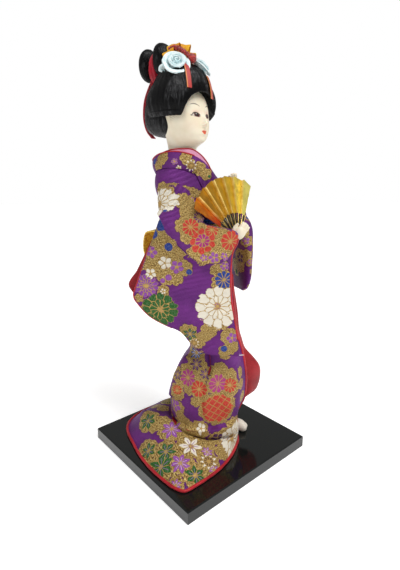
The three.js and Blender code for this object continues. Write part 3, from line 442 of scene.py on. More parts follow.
class Shader:
    """Builds one material's nodes."""

    def __init__(self, name):
        self.material = bpy.data.materials.new(name)
        self.material.use_nodes = True
        self.tree = self.material.node_tree
        self.tree.nodes.clear()

    def put(self, socket, value):
        if isinstance(value, Value):
            value = value.socket
        if isinstance(value, bpy.types.NodeSocket):
            self.tree.links.new(value, socket)
        elif value is not None:
            socket.default_value = value

    def node(self, kind, *values, **settings):
        made = self.tree.nodes.new("ShaderNode" + kind)
        for key, value in settings.items():
            setattr(made, key, value)
        for socket, value in zip(made.inputs, values):
            self.put(socket, value)
        return made

    def math(self, operation, *values):
        return Value(self, self.node("Math", *values, operation=operation).outputs[0])

    def blend(self, factor, a, b):
        made = self.node("Mix", data_type="RGBA")
        for place, value in ((0, factor), (6, a), (7, b)):
            self.put(made.inputs[place], value)
        return made.outputs[2]

    def noise(self, where, scale, detail, rough=0.5):
        made = self.node("TexNoise")
        self.put(made.inputs["Vector"], where)
        made.inputs["Scale"].default_value = scale
        made.inputs["Detail"].default_value = detail
        made.inputs["Roughness"].default_value = rough
        return Value(self, made.outputs["Fac"])

    def stretched(self, where, x, y, z=1.0, turn=0.0):
        made = self.node("Mapping")
        self.put(made.inputs["Vector"], where)
        made.inputs["Scale"].default_value = (x, y, z)
        made.inputs["Rotation"].default_value = (0, 0, turn)
        return made.outputs[0]

    def ramp(self, factor, low, high):
        """0 below low, 1 above high, smooth between."""
        made = self.node("MapRange", factor, low, high, 0.0, 1.0)
        made.interpolation_type = "SMOOTHSTEP"
        return Value(self, made.outputs[0])

    def cloth(self):
        return self.node("UVMap", uv_map="cloth").outputs[0]

    def place(self):
        """The object's own coordinates, in millimetres."""
        made = self.node("VectorMath", self.node("TexCoord").outputs["Object"], operation="SCALE")
        made.inputs["Scale"].default_value = 1000
        return made.outputs[0]

    def attribute(self, name):
        return self.node("Attribute", attribute_name=name, attribute_type="GEOMETRY")

    def apart(self, vector):
        """The three numbers of a vector."""
        return [Value(self, part) for part in self.node("SeparateXYZ", vector).outputs]

    def done(self, base, roughness, height=None, depth=0.1, **fixed):
        """Ends the material; depth is the bump's height in millimetres, fixed are sockets by name."""
        shader = self.node("BsdfPrincipled")
        self.put(shader.inputs["Base Color"], base)
        self.put(shader.inputs["Roughness"], roughness)
        for name, value in fixed.items():
            self.put(shader.inputs[name.replace("_", " ")], value)
        if height is not None:
            bump = self.node("Bump")
            bump.inputs["Strength"].default_value = 1.0
            bump.inputs["Distance"].default_value = depth * MM
            self.put(bump.inputs["Height"], height)
            self.put(shader.inputs["Normal"], bump.outputs[0])
        output = self.node("OutputMaterial")
        self.tree.links.new(shader.outputs[0], output.inputs[0])
        return self.material


def weave(s, threads):
    """The height of a plain weave, about threads to the millimetre."""
    across, down, _ = s.apart(s.stretched(s.cloth(), threads * math.pi, threads * math.pi))
    return s.math("SINE", across) * s.math("SINE", down)


def silk(name, base, light, dark, roughness=0.42, threads=2.2):
    s = Shader(name)
    slow = s.noise(s.place(), 0.09, 3)
    fine = s.noise(s.stretched(s.cloth(), 3.0, 0.5), 1.2, 3)
    tone = s.blend(s.ramp(slow, 0.35, 0.65), dark, base)
    tone = s.blend(s.ramp(fine, 0.5, 0.75) * 0.5, tone, light)
    height = weave(s, threads) * 0.4 + fine * 0.8
    rough = fine * 0.18 + (roughness - 0.08)
    return s.done(tone, rough, height, 0.06, Sheen_Weight=0.1, Sheen_Roughness=0.4, Specular_IOR_Level=0.3)


GOLD_THREAD = colour(196, 160, 92)
PURPLE = colour(114, 45, 130)
LIT_PURPLE = colour(150, 74, 168)
# Petal counts travel in a colour's fourth number, so they are kept below 1
MOST_PETALS = 32
FAR_OFF = 50.0


def brocade():
    """Purple silk with gold clouds and flowers. Each face carries the nearest flower and the nearest cloud,
    as a place in that flower's own frame, so that the drawing stays sharp between the points."""
    s = Shader("brocade")
    cloth = s.cloth()
    per_turn = 1 / (2 * math.pi)
    # The drawn flowers are a little uneven, as woven ones are
    uneven = (s.noise(cloth, 0.3, 2) - 0.5) * 0.44

    def polar(name):
        x, y, size = s.apart(s.attribute(name).outputs["Vector"])
        way = s.math("ARCTAN2", y, x) * per_turn + uneven * 0.08
        far = s.math("SQRT", x * x + y * y) + uneven
        return x, y, size, way, far

    def petal_phase(way, count, shift=0.0):
        part = s.math("FRACT", way * count + (shift + 8.0))
        return s.math("ABSOLUTE", part * 2.0 - 1.0)

    def line(distance, width):
        return 1.0 - s.ramp(distance, width * 0.6, width)

    x, y, size, way, far = polar("flower")
    petal = s.attribute("petal")
    heart = s.attribute("heart")
    count = Value(s, petal.outputs["Alpha"]) * MOST_PETALS
    lattice = s.math("LESS_THAN", count, -0.5)
    petals = s.math("MAXIMUM", count, 1.0)
    notch = Value(s, heart.outputs["Alpha"])
    pointed = s.math("GREATER_THAN", notch, 0.5)
    phase = petal_phase(way, petals)
    power = 2.0 - pointed
    reach = 1.0 - notch * s.math("POWER", phase, power)
    inside = (reach - far) * size
    arc = far * size * math.pi / petals
    side = (1.0 - phase) * arc
    single = s.math("LESS_THAN", count, 1.5)
    side = side + single * FAR_OFF
    cells = []
    for way_across in (x + y, x - y):
        cells.append(s.math("ABSOLUTE", s.math("FRACT", way_across * 1.9 + 8.5) - 0.5))
    mesh_gap = s.math("MINIMUM", *cells) * (size * 0.37)
    side = side + lattice * (mesh_gap - side)

    second = petal_phase(way, petals, 0.5)
    inner_reach = 0.56 - second * second * 0.09
    inner_gap = (inner_reach - far) * size
    double = s.math("GREATER_THAN", count, 8.5) * (1.0 - s.math("COMPARE", count, 10.0, 0.4))
    in_inner = s.math("GREATER_THAN", inner_gap, 0.0) * double
    inner_side = (1.0 - second) * arc
    side = side + in_inner * (inner_side - side)
    inner_edge = s.math("ABSOLUTE", inner_gap) + (1.0 - double) * FAR_OFF
    eye_gap = s.math("ABSOLUTE", far - 0.15) * size
    many = 1.0 - single
    eye_gap = eye_gap + single * FAR_OFF
    outlines = s.math("MINIMUM", s.math("MINIMUM", inside, side), s.math("MINIMUM", inner_edge, eye_gap))
    drawn = line(outlines, 0.34)
    in_flower = s.ramp(inside, 0.0, 0.12)
    vein = line(phase * arc, 0.26) * (pointed * s.math("LESS_THAN", far, 0.62))

    streak = s.noise(s.stretched(cloth, 2.0, 0.35), 1.4, 2)
    fill = s.blend(s.ramp(streak, 0.4, 0.7) * 0.1, petal.outputs["Color"], colour(250, 246, 230))
    near_heart = 1.0 - s.ramp(far, 0.12, 0.17)
    whorl = in_inner * s.math("COMPARE", count, 9.0, 0.4)
    near_heart = s.math("MAXIMUM", near_heart, whorl) * many
    fill = s.blend(near_heart, fill, heart.outputs["Color"])
    fill = s.blend(vein, fill, heart.outputs["Color"])

    _, _, cloud_size, cloud_way, cloud_far = polar("cloud")
    scallops = s.math("MAXIMUM", s.math("ROUND", cloud_size * 1.15), 5.0)
    cloud_phase = petal_phase(cloud_way, scallops)
    cloud_reach = 1.0 - cloud_phase * cloud_phase / cloud_size
    cloud_gap = (cloud_reach - cloud_far) * cloud_size
    in_cloud = s.ramp(cloud_gap, 0.0, 0.15)
    cloud_rim = s.ramp(cloud_gap, 0.0, 0.1) * line(cloud_gap, 0.75)
    dark_rim = s.ramp(cloud_gap, -0.55, -0.3) * (1.0 - in_cloud)

    grain = s.noise(s.stretched(cloth, 0.8, 1.3, 1, 0.4), 1.1, 3, 0.65)
    fleck = s.noise(s.stretched(cloth, 1.5, 0.8, 1, 0.6), 1.3, 2, 0.6)
    gold = s.blend(s.ramp(grain, 0.4, 0.56), colour(96, 67, 34), colour(182, 149, 84))
    gold = s.blend(s.ramp(fleck, 0.54, 0.62) * 0.85, gold, colour(238, 216, 142))
    patch = s.noise(s.place(), 0.06, 2)
    twill = s.math("SINE", s.apart(s.stretched(cloth, 1, 1, 1, 0.7))[0] * 9.0)
    thread = s.noise(s.stretched(cloth, 5.0, 0.7, 1, 0.7), 0.9, 2)
    ground = s.blend(s.ramp(patch, 0.3, 0.7), colour(92, 36, 108), PURPLE)
    shine = s.ramp(thread, 0.45, 0.75) * s.ramp(twill, -0.6, 0.9)
    ground = s.blend(shine * 0.45, ground, LIT_PURPLE)
    ground = s.blend(dark_rim * 0.7, ground, colour(84, 50, 60))

    base = s.blend(in_cloud, ground, gold)
    base = s.blend(cloud_rim * 0.75, base, GOLD_THREAD)
    base = s.blend(in_flower, base, fill)
    base = s.blend(in_flower * drawn, base, GOLD_THREAD)

    metal = s.math("MAXIMUM", in_cloud, drawn)
    plain = in_flower * (1.0 - drawn)
    metal = metal * (1.0 - plain) * 0.25
    rough = 0.62 - metal * 0.6
    raised = in_cloud * (fleck * 1.2) + plain * 1.1
    raised = raised + twill * 0.18 + weave(s, 2.4) * 0.25
    return s.done(base, rough, raised, 0.3, Metallic=metal, Specular_IOR_Level=0.22)


def lacquer():
    s = Shader("lacquer")
    dust = s.noise(s.place(), 0.9, 4, 0.7)
    cloudy = s.noise(s.place(), 0.05, 2)
    base = s.blend(s.ramp(dust, 0.66, 0.8), colour(20, 23, 22), colour(66, 70, 68))
    rough = cloudy * 0.08 + (s.ramp(dust, 0.6, 0.8) * 0.25 + 0.05)
    return s.done(base, rough, cloudy, 0.03, Coat_Weight=0.12, Coat_Roughness=0.05, Specular_IOR_Level=0.34)


def skin(name, painted):
    """Shell-white paint, on the head with the face's colours held by its points."""
    s = Shader(name)
    paint = s.attribute("paint")
    slow = s.noise(s.place(), 0.12, 2)
    fine = s.noise(s.place(), 1.4, 3)
    cream = s.blend(s.ramp(slow, 0.3, 0.7), colour(232, 219, 192), colour(240, 230, 206))
    base = s.blend(paint.outputs["Alpha"], cream, paint.outputs["Color"]) if painted else cream
    rough = fine * 0.12 + 0.38
    return s.done(base, rough, fine, 0.02, Subsurface_Weight=0.08, Subsurface_Scale=0.002)


def hair():
    s = Shader("hair")
    strands = s.noise(s.stretched(s.cloth(), 7.0, 0.12), 0.8, 3, 0.65)
    fine = s.noise(s.stretched(s.cloth(), 16.0, 0.3), 0.8, 2)
    glint = s.noise(s.stretched(s.cloth(), 0.25, 0.05), 1.0, 2)
    base = s.blend(s.ramp(strands, 0.42, 0.7), colour(3, 3, 4), colour(10, 10, 11))
    base = s.blend(s.ramp(fine, 0.5, 0.64) * s.ramp(glint, 0.52, 0.62), base, colour(86, 86, 88))
    height = strands + fine * 0.5
    rough = fine * 0.2 + 0.12
    return s.done(base, rough, height, 0.22, Specular_IOR_Level=0.13)


def gold_cloth():
    s = Shader("gold_brocade")
    pattern = s.node("TexVoronoi", s.cloth(), feature="DISTANCE_TO_EDGE")
    pattern.inputs["Scale"].default_value = 0.42
    edge = s.ramp(pattern.outputs["Distance"], 0.05, 0.12)
    threads = s.noise(s.stretched(s.cloth(), 0.6, 5.0), 1.0, 2)
    base = s.blend(s.ramp(threads, 0.35, 0.7), colour(240, 200, 48), colour(254, 232, 112))
    base = s.blend(edge, colour(220, 164, 52), base)
    height = edge * 0.8 + weave(s, 2.0) * 0.4
    return s.done(base, threads * 0.2 + 0.3, height, 0.12, Metallic=0.15)


def foil(name, bright, deep, pivot=None, inner=None):
    """Crinkled metal leaf; with a pivot, it deepens to another colour towards it, as a painted reflection of
    the red cloth near the pivot.
    """
    s = Shader(name)
    place = s.place()
    crease = s.noise(place, 0.16, 3)
    fine = s.noise(place, 3.0, 3)
    pit = s.noise(place, 0.8, 2, 0.4)
    base = s.blend(s.ramp(crease, 0.36, 0.64), deep, bright)
    base = s.blend(s.ramp(pit, 0.735, 0.76), base, colour(110, 66, 20))
    if pivot is not None:
        away = s.node("VectorMath", place, tuple(pivot), operation="DISTANCE").outputs["Value"]
        base = s.blend(s.ramp(away, 20, 36), inner, base)
    rough = fine * 0.15 + 0.24
    height = crease * 0.9 + fine * 0.15
    return s.done(base, rough, height, 0.025, Metallic=0.64)


def grained(name, low, high, roughness, scale, stretch=(1, 1, 0.2), depth=0.1, **fixed):
    """Wood, wadding, cotton or metal: two tones over a stretched grain."""
    s = Shader(name)
    grain = s.noise(s.stretched(s.place(), *stretch), scale, 4, 0.6)
    base = s.blend(s.ramp(grain, 0.35, 0.68), low, high)
    return s.done(base, roughness, grain, depth, **fixed)


def speckled_band():
    """Red ribbon with edges of gold thread."""
    s = Shader("ribbon_band")
    across = s.apart(s.cloth())[0]
    fleck = s.noise(s.cloth(), 1.7, 3, 0.7)
    middle = s.math("ABSOLUTE", across - 1.9)
    rim = s.ramp(middle + fleck * 1.2, 1.8, 2.1)
    base = s.blend(s.ramp(fleck, 0.4, 0.7), colour(160, 22, 20), colour(200, 42, 30))
    base = s.blend(rim, base, colour(222, 132, 58))
    return s.done(base, 0.5, fleck, 0.15, Sheen_Weight=0.2)


def crepe_silk():
    s = Shader("crepe")
    knots = s.node("TexVoronoi", s.place())
    knots.inputs["Scale"].default_value = 0.75
    bump = Value(s, knots.outputs["Distance"])
    # Painted highlights: small orange-red glints scattered over the deep red crepe
    crepe_glint = s.noise(s.place(), 1.3, 2, 0.6)
    base = s.blend(s.ramp(bump, 0.15, 0.75), colour(196, 32, 26), colour(118, 10, 14))
    base = s.blend(s.ramp(crepe_glint, 0.6, 0.68) * 0.5, base, colour(226, 96, 44))
    return s.done(base, 0.5, 1.0 - bump, 0.5, Sheen_Weight=0.3)


def satin():
    s = Shader("satin")
    fold = s.noise(s.stretched(s.cloth(), 0.3, 1.6), 0.8, 2)
    fine = s.noise(s.stretched(s.cloth(), 0.6, 8.0), 1.0, 2)
    # Painted light and shade over the pale blue-white satin: paler on the raised folds, a shaded blue-grey in
    # the hollows between them
    base = s.blend(s.ramp(fold, 0.3, 0.56), colour(160, 206, 212), colour(232, 244, 245))
    height = fold + fine * 0.2
    return s.done(base, fine * 0.15 + 0.3, height, 0.15, Sheen_Weight=0.2)


BROCADE = brocade()
LACQUER = lacquer()
SKIN = skin("skin", False)
FACE_SKIN = skin("face_skin", True)
HAIR = hair()
RED_SILK = silk("red_silk", colour(160, 18, 28), colour(200, 44, 50), colour(134, 10, 22))
RED_PIPING = silk("red_piping", colour(188, 30, 42), colour(226, 76, 80), colour(160, 20, 32), 0.36)
RED_CLOTH = silk("red_bun_cloth", colour(190, 22, 46), colour(222, 60, 78), colour(150, 12, 32), 0.45)
BLUE_SILK = silk("blue_silk", colour(24, 74, 168), colour(70, 122, 210), colour(14, 48, 124), 0.42)
PINK_SILK = silk("pink_silk", colour(240, 168, 200), colour(250, 206, 222), colour(226, 140, 180), 0.5)
WHITE_THREAD = silk("white_thread", colour(238, 236, 228), colour(250, 250, 246), colour(220, 216, 206), 0.6)
COTTON = grained("white_cotton", colour(222, 212, 196), colour(240, 234, 222), 0.85, 2.2, (1, 1, 1), 0.12)
GOLD_CLOTH = gold_cloth()
GOLD_RIBBON = silk("gold_ribbon", colour(240, 182, 24), colour(252, 214, 72), colour(214, 142, 14), 0.35)
GOLD_NET = silk("gold_net", colour(206, 96, 26), colour(240, 176, 60), colour(170, 60, 14), 0.5, 1.1)
# Painted light: one gold foil in lit and shaded copies, brightest on the first leaf and darker amber towards
# the sixth, for how each leaf catches the light
LEAF_LIGHT_TONES = [(255, 240, 120), (252, 222, 84), (236, 192, 50), (214, 162, 32), (196, 142, 24), (186, 130, 22)]
FOILS = [foil(f"gold_foil_{k}", colour(*tone), colour(*[0.9 * part for part in tone]))
         for k, tone in enumerate(LEAF_LIGHT_TONES)]
FAN_PIVOT = np.array([10.9, -35, 179.2])
# Painted reflection: the seventh leaf is painted orange, going red towards the pivot, for the red cloth it
# reflects
FOIL_REFLECTING_RED = foil("orange_foil_red_reflection", colour(222, 134, 22), colour(196, 104, 14), FAN_PIVOT, colour(200, 62, 18))
# Painted highlights: pale foil along the sticks' sides and on the pleats' returns, where the light catches them
FOIL_HIGHLIGHT = foil("pale_foil_highlight", colour(246, 222, 136), colour(226, 192, 92))
STICK_WOOD = grained("stick_lacquer", colour(26, 21, 18), colour(54, 44, 34), 0.35, 1.2)
BAND = speckled_band()
CREPE = crepe_silk()
SATIN = satin()
IRON = grained("iron_wire", colour(92, 88, 84), colour(128, 124, 118), 0.45, 1.5, Metallic=0.9)
BRASS = grained("brass", colour(160, 122, 48), colour(206, 168, 84), 0.32, 2.0, Metallic=1.0)
WOOD = grained("peg_wood", colour(180, 140, 92), colour(212, 178, 128), 0.7, 0.8)
WADDING = grained("wadding", colour(206, 192, 162), colour(228, 216, 190), 0.95, 0.9, (1, 1, 1), 0.3)

for node, material in (
        ("base_board", LACQUER), ("leg_wire_right", IRON), ("leg_wire_left", IRON), ("body_core", WADDING),
        ("arm_right", WADDING), ("arm_left", WADDING), ("neck_peg", WOOD), ("fan_rivet", BRASS)):
    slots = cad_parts[node].data.materials
    slots.clear()
    slots.append(material)


# The brocade's flowers: petals, how deep the notches between them are, petal and heart colours.
# Notches above 0.5 are pointed

GREEN = colour(26, 92, 20)
WHITE = colour(238, 230, 212)
BLUE = colour(14, 56, 146)
RED = colour(200, 48, 32)
DARK_PURPLE = colour(74, 26, 84)
PINK_PURPLE = colour(176, 50, 128)
FLOWERS = {
    "blue dot": (1, 0.0, BLUE, GOLD_THREAD),
    "green dot": (1, 0.0, colour(26, 96, 36), GOLD_THREAD),
    "purple dot": (1, 0.0, LIT_PURPLE, GOLD_THREAD),
    "white plum": (5, 0.36, WHITE, LIT_PURPLE),
    "purple plum": (5, 0.36, LIT_PURPLE, colour(214, 186, 120)),
    "dark plum": (5, 0.36, DARK_PURPLE, colour(190, 160, 100)),
    "green wheel": (11, 0.14, GREEN, colour(206, 150, 120)),
    "white wheel": (12, 0.12, WHITE, LIT_PURPLE),
    "purple wheel": (13, 0.16, colour(138, 62, 160), colour(170, 120, 170)),
    "red wheel": (10, 0.2, RED, colour(150, 44, 120)),
    "two-tone wheel": (9, 0.16, RED, PINK_PURPLE),
    "pink wheel": (10, 0.2, PINK_PURPLE, colour(220, 150, 190)),
    "blue wheel": (10, 0.24, BLUE, colour(120, 70, 160)),
    # Used only as painted shade: a dark flower laid in the shaded mouth of the right sleeve
    "dark wheel": (10, 0.2, colour(92, 30, 96), colour(168, 120, 170)),
    "lattice": (-12, 0.08, RED, PINK_PURPLE),
    "green maple": (6, 0.51, GREEN, colour(150, 110, 160)),
    "purple maple": (7, 0.52, LIT_PURPLE, colour(220, 190, 210)),
    "dark maple": (7, 0.52, DARK_PURPLE, colour(160, 120, 160)),
    "blue maple": (8, 0.54, BLUE, colour(210, 220, 240)),
    "white star": (6, 0.58, WHITE, LIT_PURPLE),
    "white maple": (9, 0.56, WHITE, colour(120, 90, 60)),
}


def on_cloth(tree, across, down, radius):
    """A flower's place, size and frame on a garment, from its pixels in the photograph."""
    ray = pixel_ray(across, down)
    place, normal, _, away = tree.ray_cast(Vector(EYE), Vector(ray))
    if place is None:
        return None
    normal = np.array(normal)
    normal = facing(normal, BACK)
    right = unit(RIGHT - normal * (RIGHT @ normal))
    return np.array(place), normal, right, np.cross(normal, right), radius * away / FOCAL_PX


def decorate(made, flowers, clouds, scattered, seed, rings=True):
    """Gives each face the nearest flower and cloud; rings puts a cloud round each flower too. Where the
    photograph can't see, flowers of the same kinds are scattered, at least their own width apart."""
    mesh = made.data
    count = len(mesh.polygons)
    outer = made["outer"]
    centre = np.zeros(count * 3)
    normal = np.zeros(count * 3)
    mesh.polygons.foreach_get("center", centre)
    mesh.polygons.foreach_get("normal", normal)
    centre = centre.reshape(-1, 3) / MM
    normal = normal.reshape(-1, 3)
    points = np.zeros(len(mesh.vertices) * 3)
    mesh.vertices.foreach_get("co", points)
    points = points.reshape(-1, 3) / MM
    tree = BVHTree.FromPolygons(
        [Vector(p) for p in points], [list(p.vertices) for p in list(mesh.polygons)[:outer]])

    placed = []
    for across, down, radius, kind, turn in flowers:
        found = on_cloth(tree, across, down, radius)
        if found is None:
            continue
        place, up, right, other, size = found
        swing = math.radians(turn)
        placed.append((place, up, right * math.cos(swing) + other * math.sin(swing),
                       other * math.cos(swing) - right * math.sin(swing), size, kind))
    chance = np.random.default_rng(seed)
    hidden = np.flatnonzero(normal[:outer] @ BACK < 0.02)
    kinds = ["green wheel", "white plum", "purple plum", "red wheel", "blue dot", "white wheel", "pink wheel",
             "green maple", "white star", "blue wheel", "dark plum", "purple wheel", "purple maple"]
    sizes = [8, 3.8, 4.2, 6, 2.6, 8, 6, 5.5, 6, 6, 4, 7, 5]
    tries = 0
    wanted = len(placed) + scattered
    while len(placed) < wanted and tries < 40 * scattered and len(hidden):
        tries += 1
        face = hidden[chance.integers(len(hidden))]
        pick = int(chance.integers(len(kinds)))
        size = sizes[pick] * chance.uniform(0.85, 1.15)
        if any(np.linalg.norm(p[0] - centre[face]) < (p[4] + size) * 1.02 for p in placed):
            continue
        up = normal[face]
        right = unit(np.cross([0.2, 0.1, 1.0], up))
        placed.append((centre[face], up, right, np.cross(up, right), size, kinds[pick]))

    ringed = placed if rings else placed[len(flowers):]
    discs = [(p[0], p[1], p[2], p[3], p[4] * 1.12 + 1.2) for p in ringed]
    for across, down, radius in clouds:
        found = on_cloth(tree, across, down, radius)
        if found is not None:
            discs.append(found)

    def nearest(frames, limit):
        place = np.array([f[0] for f in frames])
        up = np.array([f[1] for f in frames])
        size = np.array([f[4] for f in frames])
        away = np.linalg.norm(centre[:, None] - place[None], axis=-1) / size
        away[(normal @ up.T) < 0.1] = 99
        away[outer:] = 99
        best = away.argmin(1)
        return best, away[np.arange(count), best] < limit

    corners = np.zeros(len(mesh.loops), np.int32)
    mesh.loops.foreach_get("vertex_index", corners)
    per_face = np.zeros(count, np.int32)
    mesh.polygons.foreach_get("loop_total", per_face)
    face_of = np.repeat(np.arange(count), per_face)

    def frame_places(frames, limit, name):
        best, near = nearest(frames, limit)
        picked = best[face_of]
        right = np.array([f[2] for f in frames])[picked]
        other = np.array([f[3] for f in frames])[picked]
        size = np.array([f[4] for f in frames])[picked]
        off = points[corners] - np.array([f[0] for f in frames])[picked]
        value = np.stack([(off * right).sum(1) / size, (off * other).sum(1) / size, size], 1)
        value[~near[face_of]] = (9, 9, 5)
        layer = mesh.attributes.new(name, "FLOAT_VECTOR", "CORNER")
        layer.data.foreach_set("vector", value.astype(np.float32).ravel())
        return picked

    picked = frame_places(placed, 1.5, "flower")
    frame_places(discs, 1.35, "cloud")
    looks = [FLOWERS[p[5]] for p in placed]
    petal = np.array([(*look[2][:3], look[0] / MOST_PETALS) for look in looks])
    heart = np.array([(*look[3][:3], look[1]) for look in looks])
    for name, values in (("petal", petal), ("heart", heart)):
        layer = mesh.attributes.new(name, "FLOAT_COLOR", "CORNER")
        layer.data.foreach_set("color", values[picked].astype(np.float32).ravel())


# The kimono's shape: height, centre x, centre y, half-width, half-depth
BODY = through([
    [30, 10, 0, 30.5, 30.5], [40, 10, -0.5, 31.3, 31], [51, 10, -1.5, 31, 31], [64, 10.7, -3.2, 29.5, 29],
    [76, 12, -5, 26, 25], [88, 13, -7, 21.5, 20], [98, 11, -6.5, 20.5, 19], [115, 7.5, -5.8, 22, 19],
    [135, 4.5, -4.8, 23.5, 20], [150, 3, -4, 24, 20.5], [165, 2, -3.5, 22.5, 18.5], [178, 0.5, -3, 21, 16.5],
    [188, -0.5, -1.5, 22, 17], [199, -2, 1, 24.5, 17], [210, -3.5, 4.5, 26.5, 17], [220, -4.5, 7.5, 24, 16.5],
    [229, -5.5, 10, 18, 15],
])
# The hem on the board: degrees about the upright and distance from the skirt's foot
HEM = through([
    [-370, 32], [-330, 38], [-300, 46], [-272, 53.6], [-251, 62.1], [-225, 70.2], [-198, 65.7], [-174, 68.3],
    [-159, 73.3], [-148, 78.7], [-144.5, 80.4], [-141, 76.4], [-133, 66.7], [-120, 54.2], [-97, 39.1],
    [-68, 30.9], [-50, 30.5],
])
BOARD_TOP = 9.6
FOOT_X = 10
OPEN_FROM = -52
OPEN_TO = -8
SKIRT_TOP = 174.7
COLUMN_END = 29
SKIRT_ROUND = 250
SKIRT_ROWS = 92
THIN = 0.5
NECK = np.array([-6, 8.5, 0])
LINED = [BROCADE, RED_SILK]


def body_point(z, degrees, grow=0.0):
    row = BODY(z)
    x, y, a, b = np.moveaxis(row, -1, 0)
    turn = np.radians(degrees)
    reach = a * b / np.hypot(b * np.cos(turn), a * np.sin(turn)) + grow
    return np.stack(np.broadcast_arrays(x + reach * np.cos(turn), y + reach * np.sin(turn), z), -1)


def puff(degrees):
    """1 where the train lies puffed behind her right side."""
    return 0.5 + 0.5 * np.cos(np.radians(degrees + 225))


def skirt_points():
    degrees = np.linspace(OPEN_FROM, OPEN_TO - 360, SKIRT_ROUND)
    column = np.linspace(SKIRT_TOP, COLUMN_END, SKIRT_ROWS)[:, None]
    wave = np.sin(np.radians(degrees * 7 + 40)) * 0.5 + np.sin(np.radians(degrees * 13)) * 0.25
    depth = wave * ease(150 - column, 0, 60) * 0.9
    top = body_point(column + 0 * degrees, degrees[None, :], depth)
    hem = HEM(degrees)[..., 0] - 1.5
    spread = ease(hem, 33, 44)
    crease = 18 + 6 * puff(degrees) ** 2
    fall = [(mix(30.4, reach, spread), mix(height, crease + over, spread)) for reach, height, over in (
        (30.4, 23.0, 5), (29.0, 18.0, 0.6), (31.0, 16.0, -1.0), (34.0, 14.0, 0.8))]
    for t in (0.3, 0.6, 0.85, 1.0):
        flat = mix(crease, BOARD_TOP + 1.3, t ** 1.3)
        high = 5 * puff(degrees) * math.sin(math.pi * min(1, 1.05 * t))
        fall.append((mix(np.minimum(31, hem), hem, t), np.maximum(flat + high, BOARD_TOP + 1.3)))
    end = np.full(SKIRT_ROUND, float(COLUMN_END))
    start = body_point(end, degrees) - [FOOT_X, 0, 0]
    fall.insert(0, (np.linalg.norm(start[:, :2], axis=1), end))
    rows = through([[k, *r, *z] for k, (r, z) in enumerate(fall)])(np.linspace(0, len(fall) - 1, 62)[1:])
    reach, height = rows[:, :SKIRT_ROUND], rows[:, SKIRT_ROUND:]
    turn = np.radians(degrees)
    low = np.stack([FOOT_X + reach * np.cos(turn), reach * np.sin(turn), height], -1)
    points = np.concatenate([top, low])
    t = ease(np.linspace(-1, 1.6, 61), 0, 1)[:, None] * ease(1.05 - np.linspace(0, 1, 61), 0, 0.3)[:, None]
    # The near edge is drawn in over the foot that shows beside it
    drawn = 1 - 0.17 * np.exp(-((degrees - OPEN_FROM) / 18) ** 2)[None, :] * ease(46 - points[..., 2], 0, 20)
    points[..., 0] = FOOT_X + (points[..., 0] - FOOT_X) * drawn
    points[..., 1] *= drawn
    points[SKIRT_ROWS:, :, 2] += 0.7 * t * ripple(degrees / 9, 3.0, 1)[None, :] * spread
    return points


SKIRT_FOLDS = [
    ("step", [(134, 409), (150, 413), (166, 418), (187, 425), (210, 427.5), (227, 423), (237, 416)], 4.2, 13),
    ("ridge", [(207, 345), (211, 356), (212, 366), (208, 378)], -3.2, 2.6),
    ("step", [(205, 386), (211, 370), (210, 356), (206, 345)], 2.2, 10),
    ("ridge", [(204, 384), (202, 400), (203, 424)], -1.6, 2.0),
    ("step", [(171, 399), (173, 388), (177, 374), (183, 363), (190, 352)], 3.6, 9),
    ("ridge", [(197, 344), (200, 352), (206, 356)], -1.2, 3.0),
    ("step", [(236, 364), (238, 380), (236, 396), (229, 414)], 2.2, 7),
    ("ridge", [(150, 432), (168, 446), (186, 470)], 0.9, 8.0),
    ("ridge", [(212, 436), (206, 455), (196, 474)], -0.8, 6.0),
    ("ridge", [(186, 378), (184, 400), (186, 416)], -0.7, 4.0),
]
SKIRT_FLOWERS = [
    (196.3, 352.6, 7.8, "blue maple", 20), (196.3, 364, 7.5, "dark maple", 0),
    (190, 339, 6, "white maple", 30), (205.5, 374, 6, "dark maple", 10),
    (177.8, 374.6, 6, "dark maple", 10), (188, 377.7, 8.6, "pink wheel", 0),
    (199, 389.2, 8.4, "red wheel", 12), (177, 390, 5.2, "red wheel", 0),
    (175.5, 405.4, 6.6, "purple plum", 20), (217.8, 383.8, 9.6, "pink wheel", 10),
    (230, 385.4, 7.6, "red wheel", 0), (217.8, 408.5, 15.5, "lattice", 8),
    (231.9, 338, 5.6, "purple plum", 10), (224, 348.8, 3.4, "blue dot", 0),
    (234, 327, 3.4, "white plum", 0), (147.8, 420.8, 9.2, "green maple", 10),
    (171.7, 429.2, 11, "purple maple", 15), (190.6, 446.2, 11.6, "white star", 28),
    (180.2, 463, 10.5, "purple maple", 0), (148.5, 451, 8.6, "green maple", 0),
    (166, 451.5, 10.4, "green maple", 20), (161, 467, 13.5, "green maple", 0),
    (195.5, 475.4, 10.5, "green maple", 12), (208.6, 461.5, 8.6, "white maple", 10),
    (207, 452, 6, "purple maple", 0), (217, 437.7, 6.6, "dark plum", 0),
    (175.5, 485.4, 6.6, "purple maple", 0), (214, 470, 6, "purple maple", 24),
    (231, 436, 14, "white wheel", 0), (167, 401, 5, "green wheel", 0), (157, 404, 3.5, "green maple", 0),
    (201, 428.5, 4.8, "white plum", 0),
]
SKIRT_CLOUDS = [
    (188, 346, 8), (196, 357, 10), (199, 367, 9), (191, 378, 11), (186, 371, 8), (190, 386, 10),
    (200, 394, 8), (196, 402, 6), (180, 380, 7), (177, 394, 8), (178, 408, 8), (181, 417, 7), (220, 371, 9),
    (213, 377, 7), (229, 377, 9), (222, 390, 11), (232, 388, 9), (219, 400, 12), (229, 335, 9),
    (231, 347, 8), (226, 352, 8), (240, 372, 6), (241, 384, 6), (242, 396, 6), (240, 408, 6),
    (147, 418, 10), (155, 424, 9), (163, 422, 8), (172, 428, 10), (183, 430, 11), (192, 437, 12),
    (200, 432, 9), (203, 446, 12), (180, 452, 10), (207, 462, 10), (189, 469, 10), (208, 470, 9),
    (216, 440, 8), (226, 434, 9), (234, 431, 7), (146, 448, 9), (150, 458, 7), (222, 452, 8), (228, 446, 7),
    (176, 480, 6), (163, 408, 6), (156, 406, 5),
]

